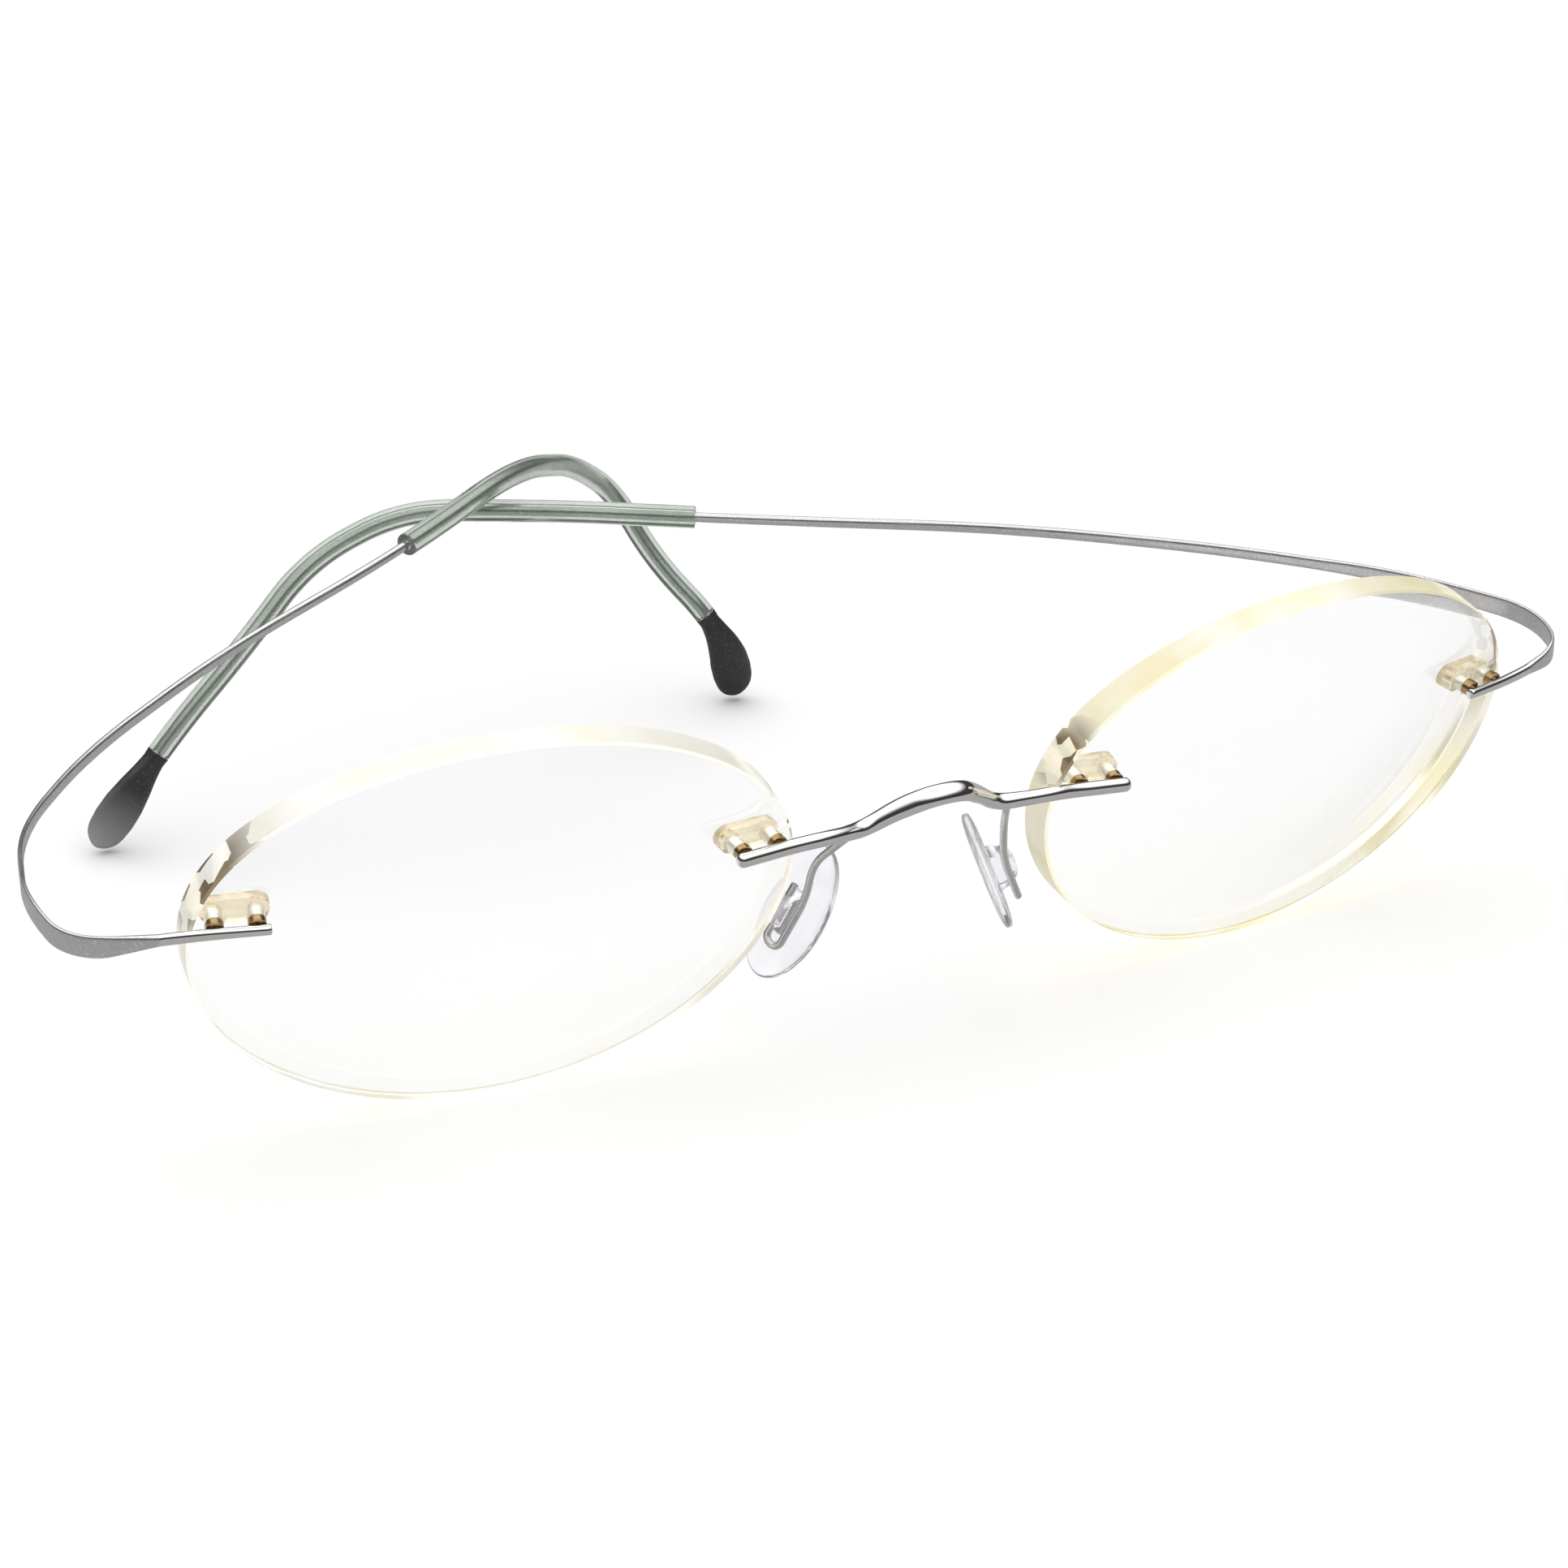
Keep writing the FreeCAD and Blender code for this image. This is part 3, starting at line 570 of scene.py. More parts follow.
def edge_finish(name, pale, painted_glow):
    """Cut edge of a lens: pale resin that also glows in its own colour, a painted glow, with painted dark
    reflections of facets near the fixings.
    """
    # painted_glow sets how strongly the edge shines: painted light, not a lamp.
    finish = Finish(name, pale, Transmission_Weight=0.3, IOR=1.6, Emission_Strength=painted_glow)
    marks = finish.group(HANDLING, Scale=180.0)
    facet_reflections = finish.group(PAINTED_FACET_REFLECTIONS, Scale=760.0, Share=0.42)
    finish.spread(marks.outputs["Mark"], 0.08, 0.26, "Roughness")
    uneven = finish.nodes.new("ShaderNodeMix")
    uneven.data_type = "RGBA"
    uneven.inputs["A"].default_value = (*pale, 1)
    uneven.inputs["B"].default_value = (*[1 - (1 - part) * EDGE_UNEVEN for part in pale], 1)
    # Painted reflection: dark brown where facets of the edge would mirror the dark room, near the fixings.
    colour = finish.tint(facet_reflections.outputs["Facet"], pale, (0.20, 0.15, 0.09))
    finish.links.new(marks.outputs["Mark"], uneven.inputs["Factor"])
    finish.links.new(uneven.outputs["Result"], colour.inputs["A"])
    # Painted glow: the edge colour, with its painted dark reflections, is also emitted, so the band shines
    # though it is no lamp.
    finish.links.new(colour.outputs["Result"], finish.shader.inputs["Emission Color"])
    finish.light_shadow((0.96, 0.94, 0.86))
    return finish


# Both lenses are the same resin. The straw edge of the left lens and the paler edge of the right one are
# partly the resin's own colour and partly painted light, for how differently light falls on each.
lens_edges = {
    "left": edge_finish("lens_edge_straw", (0.93, 0.85, 0.54), 0.24),
    "right": edge_finish("lens_edge_pale", (0.94, 0.905, 0.77), 0.25),
}

bore_finish = Finish("drilled_bore", (0.975, 0.93, 0.80), Transmission_Weight=0.55, IOR=1.5)
bore_marks = bore_finish.group(HANDLING, Scale=2500.0)
bore_finish.spread(bore_marks.outputs["Mark"], 0.25, 0.45, "Roughness")
bore_finish.light_shadow((0.95, 0.93, 0.88))
print("edges", [finish.material.name for finish in lens_edges.values()], bore_finish.material.name)

# %% Plugs, pads and sleeves
amber = Finish("amber_resin", (0.98, 0.88, 0.62), Transmission_Weight=0.8, IOR=1.5)
amber_marks = amber.group(HANDLING, Scale=1500.0)
amber.spread(amber_marks.outputs["Mark"], 0.05, 0.20, "Roughness")
amber.tint(amber_marks.outputs["Mark"], (0.985, 0.93, 0.77), (0.96, 0.85, 0.58))
amber.light_shadow((0.92, 0.80, 0.55))

pad_silicone = Finish("pad_silicone", (0.97, 0.975, 0.985), Transmission_Weight=0.9, IOR=1.41)
pad_marks = pad_silicone.group(HANDLING, Scale=700.0)
pad_silicone.spread(pad_marks.outputs["Mark"], 0.04, 0.12, "Roughness")
pad_silicone.tint(pad_marks.outputs["Mark"], (0.97, 0.965, 0.985), (0.91, 0.90, 0.95))
pad_silicone.light_shadow((0.9, 0.9, 0.91))

sleeve_silicone = Finish("sleeve_silicone", (0.62, 0.67, 0.61), Transmission_Weight=0.92, IOR=1.41)
sleeve_grain = sleeve_silicone.group(SPECKLE, Scale=9000.0, Flecks=0.57)
sleeve_marks = sleeve_silicone.group(HANDLING, Scale=120.0)
sleeve_silicone.spread(sleeve_marks.outputs["Mark"], 0.07, 0.13, "Roughness")
sleeve_silicone.tint(sleeve_marks.outputs["Mark"], (0.66, 0.71, 0.655), (0.58, 0.635, 0.575))
sleeve_silicone.bump(sleeve_grain.outputs["Grain"], 0.25e-6)
sleeve_silicone.light_shadow((0.55, 0.56, 0.54))
print("plastics", [m.material.name for m in (amber, pad_silicone, sleeve_silicone)])

# %% [markdown]
# ## Dark tips
# Each temple ends in a small charcoal paddle. It is matt plastic with grey flecks, like fine sand. The
# left one turns smoky grey towards its end: a painted sheen, light on its end painted into its colour. A
# stored value along the tip drives that painted sheen, so it stays with the tip when the temple swings.

# %% Tip finish


def tip_finish(name, clear):
    """Charcoal with flecks. The second argument is the grey of a painted sheen that the tip turns to at its
    end; 0 paints none.
    """
    finish = Finish(name, (0.026, 0.024, 0.024), IOR=1.45)
    speckle = finish.group(SPECKLE, Scale=9000.0, Flecks=0.60)
    flecked = finish.tint(speckle.outputs["Fleck"], (0.026, 0.024, 0.024), (0.07, 0.068, 0.066))
    finish.spread(speckle.outputs["Grain"], 0.34, 0.52, "Roughness")
    finish.bump(speckle.outputs["Grain"], 2.5e-6)
    if clear:
        along = finish.nodes.new("ShaderNodeAttribute")
        along.attribute_name = "along_tip"
        painted_sheen = finish.nodes.new("ShaderNodeMix")
        painted_sheen.data_type = "RGBA"
        painted_sheen.inputs["B"].default_value = (clear, clear * 0.98, clear * 1.01, 1)
        finish.links.new(along.outputs["Fac"], painted_sheen.inputs["Factor"])
        finish.links.new(flecked.outputs["Result"], painted_sheen.inputs["A"])
        finish.links.new(painted_sheen.outputs["Result"], finish.shader.inputs["Base Color"])
    return finish


# The left tip gets a painted sheen, a grey of 0.30 at its end; the right tip gets none.
tips = {"left": tip_finish("tip_painted_sheen", 0.30), "right": tip_finish("charcoal_tip", 0.0)}
print("tips", [finish.material.name for finish in tips.values()])

# %% [markdown]
# ## The lenses
# A lens blank is two spheres and an oval cut. Two spheres and a boolean would make it, but a sphere's
# rows meet the rim unevenly, and clear resin shows that. So rings of points grow from the middle of the
# front to the rim, step down the edge with a small safety bevel, and go back in along the rear sphere.

# %% Lens shape
RIM_BEVEL = 0.18 * MM
FACE_RINGS = 34
EDGE_ROWS = 6
RIM_POINTS = 168


def lens_shape():
    """Points and faces of a lens without holes, with the range of its rim faces."""
    angle = np.linspace(0, 2 * math.pi, RIM_POINTS, endpoint=False)
    tall = np.where(np.sin(angle) >= 0, LENS_ABOVE, LENS_BELOW)

    def ring(share, inset, height):
        x = share * (LENS_HALF_WIDTH - inset) * np.cos(angle)
        y = share * (tall - inset) * np.sin(angle)
        return np.stack([x, y, height(np.hypot(x, y))], axis=1)

    def front(reach):
        return -sag(FRONT_RADIUS, reach)

    def back(reach):
        return -(LENS_MIDDLE + sag(BACK_RADIUS, reach))

    shares = [(k + 1) / FACE_RINGS for k in range(FACE_RINGS)]
    rings = [ring(share, RIM_BEVEL, front) for share in shares]
    for row in range(EDGE_ROWS + 1):
        down = row / EDGE_ROWS
        rings.append(ring(1.0, 0.0, lambda reach: (front(reach) - RIM_BEVEL) * (1 - down)
                          + (back(reach) + RIM_BEVEL) * down))
    rings += [ring(share, RIM_BEVEL, back) for share in reversed(shares)]
    points = np.concatenate(rings + [[[0, 0, 0], [0, 0, -LENS_MIDDLE]]])
    faces = ring_faces(len(rings), RIM_POINTS, closed_ends=False)
    last = (len(rings) - 1) * RIM_POINTS
    for c in range(RIM_POINTS):
        d = (c + 1) % RIM_POINTS
        faces.append((len(points) - 2, d, c))
        faces.append((len(points) - 1, last + c, last + d))
    rim_first = (FACE_RINGS - 1) * RIM_POINTS
    rim_last = (FACE_RINGS + EDGE_ROWS + 1) * RIM_POINTS
    return placed((points, faces), LENS_PLACE), rim_first, rim_last


LENS, RIM_FIRST, RIM_LAST = lens_shape()
print("lens points", len(LENS[0]), "rim faces", RIM_LAST - RIM_FIRST)

# %% [markdown]
# ## Drilled holes
# Four holes in each lens take the twin plugs. Holes could be planned into the rings of points, but a
# boolean cuts them as a drill does and leaves the rings alone. The drill is a tube with a core a
# thousandth of a millimetre in radius, and it leaves a thread of that size in each hole, too thin to see.
# The walls are ground, not polished, so they get a frosted finish, and the rim gets the edge finish.

# %% Drilling
CARVED_SHARP_ANGLE = math.radians(24)
DRILL_CORE = 0.001 * MM
PLUG_SPACING = 3.0 * MM
HOLE_RADIUS = 0.66 * MM
HOLE_RISE = 2.0 * MM
HOLE_DROP = -6.0 * MM
HOLE_RING = 48


def carved(made, tool, operation):
    """Adds or cuts a tool object's shape, then removes the tool."""
    step = made.modifiers.new("carve", "BOOLEAN")
    step.operation = operation
    step.solver = "EXACT"
    step.object = tool
    view = bpy.context.evaluated_depsgraph_get()
    view.update()
    mesh = bpy.data.meshes.new_from_object(made.evaluated_get(view))
    made.modifiers.clear()
    made.data = mesh
    bpy.data.objects.remove(tool)
    smoothed(mesh, CARVED_SHARP_ANGLE)


def drill(radius, low, high, ring):
    """Round cutter along local Z, between two heights."""
    return revolved([(DRILL_CORE, low), (radius, low), (radius, high), (DRILL_CORE, high)], ring)


def drilled(made, side):
    """Cuts the four plug holes through a lens."""
    holes = []
    for which in PAIRS:
        for end in (-1, 1):
            shift = Matrix.Translation((end * PLUG_SPACING / 2, 0, 0))
            holes.append(placed(drill(HOLE_RADIUS, HOLE_DROP, HOLE_RISE, HOLE_RING), PAIRS[which] @ shift))
    cutter = piece("hole_cutter_" + side, joined(*holes), [], None, (), side)
    carved(made, cutter, "DIFFERENCE")


print("hole across in mm", round(2 * HOLE_RADIUS / MM, 2))

# %% Frosted holes and painted facet reflections near the fixings
RIM_SLOT = 1
BORE_SLOT = 2
BORE_NEAR = 0.94
BORE_FAR = 1.02
BORE_FACE_AREA = 1.0 * MM ** 2
# Where the edge gets painted dark facet reflections: spot in mm on the lens, and reach in mm.
PAINTED_REFLECTION_SPOTS = {(21.9, 5.6): 6.5, (-22.2, 4.6): 3.6}
PAINTED_REFLECTION_DEPTH = -3.5 * MM
PAINTED_REFLECTION_FADE = 1.6


def frost_bores(made, side):
    """Gives the drilled walls the ground finish, and tells how many faces they have."""
    count = 0
    for place in PAIRS.values():
        back_to_pair = place.inverted()
        for polygon in made.data.polygons:
            middle = Vector((SIDES[side] * polygon.center.x, polygon.center.y, polygon.center.z))
            local = back_to_pair @ middle
            from_axis = math.hypot(abs(local.x) - PLUG_SPACING / 2, local.y)
            on_wall = BORE_NEAR * HOLE_RADIUS < from_axis < BORE_FAR * HOLE_RADIUS
            if on_wall and polygon.area < BORE_FACE_AREA:
                polygon.material_index = BORE_SLOT
                count += 1
    return count


def mark_fixings(made, side):
    """Stores how near each point is to the edge above a fixing, for the painted facet reflections."""
    values = np.zeros(len(made.data.vertices))
    spots = np.array([vertex.co for vertex in made.data.vertices])
    for (across, above), reach in PAINTED_REFLECTION_SPOTS.items():
        middle = LENS_PLACE @ Vector((across * MM, above * MM, PAINTED_REFLECTION_DEPTH))
        gap = np.linalg.norm(spots - np.array((SIDES[side] * middle.x, middle.y, middle.z)), axis=1)
        values = np.maximum(values, np.clip(PAINTED_REFLECTION_FADE - PAINTED_REFLECTION_FADE * gap / (reach * MM), 0, 1))
    stored(made, "near_fixing", values)


print("facets near", list(PAINTED_REFLECTION_SPOTS))

# %% Make the two lenses
for side in SIDES:
    finishes = [lens_face.material, lens_edges[side].material, bore_finish.material]
    lens = piece("clear_lens_" + side, LENS, finishes, "front", ["lens_" + side], side,
                 keep_order=True)
    for index in range(RIM_FIRST, RIM_LAST):
        lens.data.polygons[index].material_index = RIM_SLOT
    drilled(lens, side)
    mark_fixings(lens, side)
    print(lens.name, len(lens.data.polygons), "faces,", frost_bores(lens, side), "in the bores")

# %% [markdown]
# ## The bridge
# One wire makes the bridge. A round rod crosses the front of each lens, dips a little, and rises to a
# flattened arch over the nose. Rods and arch could be separate pieces with a joint between them, but
# one sweep keeps the mirror line unbroken along the whole length.

# %% Bridge
BRIDGE_RADIUS = 0.575 * MM
ARCH_HALF_WIDTH = 0.85 * MM
ARCH_HALF_THICKNESS = 0.55 * MM
ROD_OVERHANG = 2.5 * MM
ROD_RUN = 2.3 * MM
ARCH_ROWS = [(0.82, 0.45, 0.30), (0.665, 0.05, 0.15), (0.47, -0.95, -0.15), (0.28, 0.25, 1.45),
             (0.105, 1.75, 2.65)]
ARCH_WIDE = (0, 0.75, 0.65)
ROD_STAND_OFF = 1.1 * MM
BRIDGE_DOME = 0.5 * MM
BRIDGE_RING = 48
ROUND_FORM = (BRIDGE_RADIUS, BRIDGE_RADIUS)
EASED_FORM = (0.565 * MM, 0.69 * MM)
FLAT_FORM = (ARCH_HALF_THICKNESS, ARCH_HALF_WIDTH)
ARCH_FORMS = [(0.16, ROUND_FORM), (0.26, EASED_FORM), (0.38, FLAT_FORM), (0.62, FLAT_FORM),
              (0.74, EASED_FORM), (0.84, ROUND_FORM)]

rod_outer, rod_inner = [PAIRS["nasal"] @ Vector((along, 0, ROD_STAND_OFF))
                        for along in (ROD_OVERHANG, -ROD_RUN)]
half_bridge = [rod_outer, rod_inner] + [
    Vector((rod_inner.x * out, rod_inner.y - ahead * MM, rod_inner.z + above * MM))
    for out, ahead, above in ARCH_ROWS]
bridge_line = rounded_line(half_bridge + [Vector((-p.x, p.y, p.z)) for p in reversed(half_bridge)])
bridge_part = line_part(bridge_line, 0, math.inf)
bridge_whole = bridge_part[1][-1]
rod_length = (rod_outer - rod_inner).length
arch_length = bridge_whole - 2 * rod_length
arch_table = [(0.0, *ROUND_FORM, 2)]
arch_table += [(rod_length + share * arch_length, *form, 2) for share, form in ARCH_FORMS]
arch_table.append((bridge_whole, *ROUND_FORM, 2))
bridge_shape = swept(*bridge_part, arch_table, ARCH_WIDE, ring=BRIDGE_RING, round_start=BRIDGE_DOME,
                     round_end=BRIDGE_DOME)
bridge = piece("bridge_wire", bridge_shape, [polished.material], "front", ["bridge"])
print(bridge.name, "length in mm", round(bridge_whole / MM, 1))

# %% [markdown]
# ## Nose pads
# Each pad is a thin oval of clear silicone, crowned on both faces and round at its edge, so it rolls
# softly on the nose. A half-round lug on its outer side is bored for the wire hook that it rocks on. A
# remesh would join oval and lug, but it would blunt the thin rim. So a boolean joins them, and a second
# one cuts the bore with the same kind of drill as the lens holes.

# %% Where a nose pad sits
PAD_OFFSET = Vector((2.0, 6.0, -8.3)) * MM
WELD_SHARE = 0.36
PAD_LONG = Vector((-0.44, -0.17, 0.88)).normalized()
pad_side = Vector((0.864, -0.345, 0.366))
PAD_OUT = (pad_side - PAD_LONG * pad_side.dot(PAD_LONG)).normalized()
weld = half_bridge[3] * WELD_SHARE + half_bridge[4] * (1 - WELD_SHARE)
PAD_PLACE = frame_at(weld + PAD_OFFSET, PAD_LONG, PAD_OUT.cross(PAD_LONG), PAD_OUT)
print("pad centre in mm", [round(v / MM, 2) for v in PAD_PLACE.translation])

# %% Nose pad shapes
PAD_HALF_LENGTH = 5.75 * MM
PAD_HALF_WIDTH = 3.2 * MM
PAD_HALF_THICKNESS = 0.55 * MM
PAD_ROWS = 44
PAD_POINTS = 96
POLE_ANGLE = 0.03
RIM_FULLNESS = 0.42
FACE_FULLNESS = 0.5
CROWN = 0.16
LUG_RADIUS = 1.9 * MM
LUG_HALF_WIDTH = 0.8 * MM
LUG_SEAT = 0.4 * MM
LUG_EDGE = 0.25 * MM
LUG_ARC_POINTS = 41
LUG_EDGE_ROWS = 7
PIVOT_HEIGHT = 1.5 * MM
PIVOT_BORE = 0.35 * MM
PIVOT_RING = 32


def pad_oval():
    """Crowned oval: rings from the middle of one face, round the edge, to the middle of the other."""
    angle = np.linspace(0, 2 * math.pi, PAD_POINTS, endpoint=False)
    turns = np.linspace(POLE_ANGLE, math.pi - POLE_ANGLE, PAD_ROWS)
    points = []
    for turn in turns:
        share = math.sin(turn) ** RIM_FULLNESS
        height = PAD_HALF_THICKNESS * math.copysign(abs(math.cos(turn)) ** FACE_FULLNESS, math.cos(turn))
        height *= 1 - CROWN * share ** 2
        points.append(np.stack([share * PAD_HALF_LENGTH * np.cos(angle),
                                share * PAD_HALF_WIDTH * np.sin(angle),
                                np.full(PAD_POINTS, height)], axis=1))
    return np.concatenate(points), ring_faces(len(turns), PAD_POINTS)


def pad_lug():
    """Half-round lug across the pad, its two sides softly edged."""
    arc = np.linspace(0, math.pi, LUG_ARC_POINTS)
    points = []
    softened = [(-LUG_HALF_WIDTH + LUG_EDGE * (1 - math.cos(t)), LUG_EDGE * (1 - math.sin(t)))
                for t in np.linspace(0, math.pi / 2, LUG_EDGE_ROWS)]
    rows = softened + [(-place, inset) for place, inset in reversed(softened)]
    for place, inset in rows:
        radius = LUG_RADIUS - inset
        x = np.concatenate([radius * np.cos(arc), [-radius, radius]])
        z = np.concatenate([LUG_SEAT + radius * np.sin(arc), [0, 0]])
        points.append(np.stack([x, np.full(len(x), place), z], axis=1))
    return np.concatenate(points), ring_faces(len(rows), len(arc) + 2)


def pivot_bore():
    """Round cutter along the pad, at the hook's height."""
    turn = Matrix.Translation((0, 0, PIVOT_HEIGHT)) @ Matrix.Rotation(math.pi / 2, 4, "Y")
    return placed(drill(PIVOT_BORE, -2 * LUG_RADIUS, 2 * LUG_RADIUS, PIVOT_RING), turn)


print("pad in mm", round(2 * PAD_HALF_LENGTH / MM, 1), "by", round(2 * PAD_HALF_WIDTH / MM, 1))

# %% Make the two nose pads
for side in SIDES:
    pad = piece("soft_nose_pad_" + side, placed(pad_oval(), PAD_PLACE), [pad_silicone.material],
                side + "_pad", ["nose_pad_" + side], side)
    lug = piece("pad_lug_" + side, placed(pad_lug(), PAD_PLACE), [pad_silicone.material], None, (),
                side)
    carved(pad, lug, "UNION")
    bore = piece("pad_bore_" + side, placed(pivot_bore(), PAD_PLACE), [], None, (), side)
    carved(pad, bore, "DIFFERENCE")
    print(pad.name, len(pad.data.polygons), "faces")

# %% [markdown]
# ## The temples
# One line runs from the rod's end over the lens, round the corner and back to the tip. Each temple has
# its own resting shape, because the two lie crossed. Every piece of a temple is swept on that line, so
# they always meet: the polished rod, the flat corner, the long wire, the sleeve over it and the tip. The
# flat corner bends on the glasses and has no hinge; here it rides on neither front nor temple, and stays
# where it lies. Each row of a resting shape is millimetres outwards and behind, then a share of the
# fixing's height.

# %% Temple lines
PLUG_RUN = 3.3 * MM
TEMPLE_SHAPE = {
    "left": [
        (9.6, 3.0, 1.035), (11.25, 9.25, 1.080), (4.1, 18.75, 1.174), (-6.7, 28.5, 1.230),
        (-21.8, 39.0, 1.290), (-39.9, 49.7, 1.306), (-55.7, 59.1, 1.333), (-67.3, 63.95, 1.350),
        (-76.1, 63.7, 1.185), (-83.1, 61.3, 0.872), (-90.2, 60.8, 0.518), (-97.0, 61.4, 0.036)],
    "right": [
        (11.7, 2.1, 1.000), (12.25, 9.15, 1.066), (8.3, 22.15, 1.049), (-1.2, 33.6, 1.088),
        (-16.4, 43.9, 1.211), (-35.6, 53.1, 1.363), (-51.1, 62.4, 1.503), (-60.3, 71.3, 1.311),
        (-66.4, 75.5, 1.068), (-69.1, 72.3, 0.735), (-73.3, 68.0, 0.430), (-76.4, 70.0, 0.030)],
}


def temple_line(side):
    """Even points of a temple's middle line, as a left-hand piece."""
    pins = PAIRS["temporal"] @ Vector((0, 0, ROD_STAND_OFF))
    corners = [PAIRS["temporal"] @ Vector((along, 0, ROD_STAND_OFF)) for along in (-ROD_OVERHANG, PLUG_RUN)]
    corners += [Vector((pins.x + out * MM, pins.y + behind * MM, pins.z * share))
                for out, behind, share in TEMPLE_SHAPE[side]]
    return rounded_line(corners)


LINES = {side: temple_line(side) for side in SIDES}
LENGTHS = {side: float(np.linalg.norm(np.diff(line, axis=0), axis=1).sum()) for side, line in LINES.items()}
print("temple lengths in mm", {side: round(length / MM, 1) for side, length in LENGTHS.items()})

# %% Rods, corner ribbons and side wires
RIBBON_START = 8 * MM
RIBBON_END = 23 * MM
SLEEVE_START = 90 * MM
TIP_LENGTH = 9.5 * MM
CORE_IN_TIP = 2.2 * MM
WIRE_TABLE = [
    (0 * MM, 0.40 * MM, 0.40 * MM, 2.0), (8 * MM, 0.34 * MM, 0.44 * MM, 2.4),
    (12 * MM, 0.18 * MM, 0.825 * MM, 4.0), (20 * MM, 0.18 * MM, 0.825 * MM, 4.0),
    (37 * MM, 0.25 * MM, 0.51 * MM, 2.8), (90 * MM, 0.36 * MM, 0.42 * MM, 2.0),
    (91 * MM, 0.40 * MM, 0.40 * MM, 2.0), (200 * MM, 0.40 * MM, 0.40 * MM, 2.0),
]
UPRIGHT = (0, 0, 1)
ROD_DOME = 0.12 * MM


def temple_wire_parts(side):
    """Rod, flat corner and long wire of one temple."""
    line = LINES[side]
    rod_line = line_part(line, 0, RIBBON_START)
    rod = piece("front_rod_" + side, swept(*rod_line, WIRE_TABLE, UPRIGHT, round_start=ROD_DOME),
                [polished.material], "front", ["temple_rod_" + side], side)
    corner_line = line_part(line, RIBBON_START, RIBBON_END)
    corner = piece("corner_ribbon_" + side, swept(*corner_line, WIRE_TABLE, UPRIGHT),
                   [satin.material], None, ["corner_spring_" + side], side)
    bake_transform(corner)
    wire_line = line_part(line, RIBBON_END, LENGTHS[side] - TIP_LENGTH + CORE_IN_TIP)
    wire = piece("side_wire_" + side, swept(*wire_line, WIRE_TABLE, UPRIGHT),
                 [satin.material], side + "_temple", ["temple_wire_" + side], side)
    return rod, corner, wire


for side in SIDES:
    print([made.name for made in temple_wire_parts(side)])

# %% [markdown]
# ## Ear sleeves
# A soft tube of grey-green silicone is pushed over the wire. It is clear enough to show the wire inside
# as a dark line. A solid rod with the wire inside would bend the light wrongly, so the tube has a real
# bore that nearly touches the wire. Both rims are rolled, as moulded silicone is.

# %% Sleeves
SLEEVE_RADIUS = 0.97 * MM
SLEEVE_BORE = 0.45 * MM
SLEEVE_ROLL = 0.16 * MM
ROLL_ROWS = 6


def tube_shape(line, distances, outer, bore, roll, ring=48):
    """Tube on a line with rolled rims: rings run out along the skin and back along the bore."""
    ways = directions(line)
    low, high = distances[0], distances[-1]
    skin = [(low + roll * (1 - math.cos(t)), outer - roll * (1 - math.sin(t)))
            for t in np.linspace(0, math.pi / 2, ROLL_ROWS)]
    skin += [(d, outer) for d in distances if low + roll < d < high - roll]
    skin += [(low + high - d, r) for d, r in reversed(skin[:ROLL_ROWS])]
    inside = [(d, bore) for d in np.linspace(high, low, len(distances))]
    angle = np.linspace(0, 2 * math.pi, ring, endpoint=False)
    points = []
    for distance, radius in skin + inside:
        spot = read_along(line, distances, distance)
        way = read_along(ways, distances, distance)
        way /= np.linalg.norm(way)
        across = np.cross(way, UPRIGHT)
        across /= np.linalg.norm(across)
        up = np.cross(across, way)
        points.append(spot + radius * (np.outer(np.cos(angle), across) + np.outer(np.sin(angle), up)))
    return looped(points, ring)


for side in SIDES:
    sleeve_line = line_part(LINES[side], SLEEVE_START, LENGTHS[side] - TIP_LENGTH)
    sleeve = piece("soft_sleeve_" + side, tube_shape(*sleeve_line, SLEEVE_RADIUS, SLEEVE_BORE, SLEEVE_ROLL),
                   [sleeve_silicone.material], side + "_temple",
                   ["ear_sleeve_" + side], side)
    print(sleeve.name, "length in mm", round((sleeve_line[1][-1] - SLEEVE_START) / MM, 1))

# %% [markdown]
# ## Tips
# A tip is a small moulded paddle that grows out of the sleeve, widens and ends in a low dome. A scaled
# ball would be too plump at the neck. Sweeping it on the temple's own line makes it leave the sleeve with
# no step, and a short table says how wide and thick it is on the way.

# %% Tips
TIP_TABLE = [
    (0.0, 0.97, 0.97), (0.08, 0.90, 0.92), (0.20, 0.88, 1.14), (0.36, 0.90, 1.52), (0.54, 0.95, 1.84),
    (0.70, 0.95, 1.90), (0.83, 0.92, 1.76), (0.93, 0.85, 1.42), (1.0, 0.78, 1.15),
]
TIP_WIDE = (1, 0, 0.3)
TIP_DOME = 1.25 * MM
TIP_POWER = 2.15
TIP_RING = 56
SHEEN_START = 0.35
SHEEN_RUN = 0.6
SHEEN_POWER = 1.3

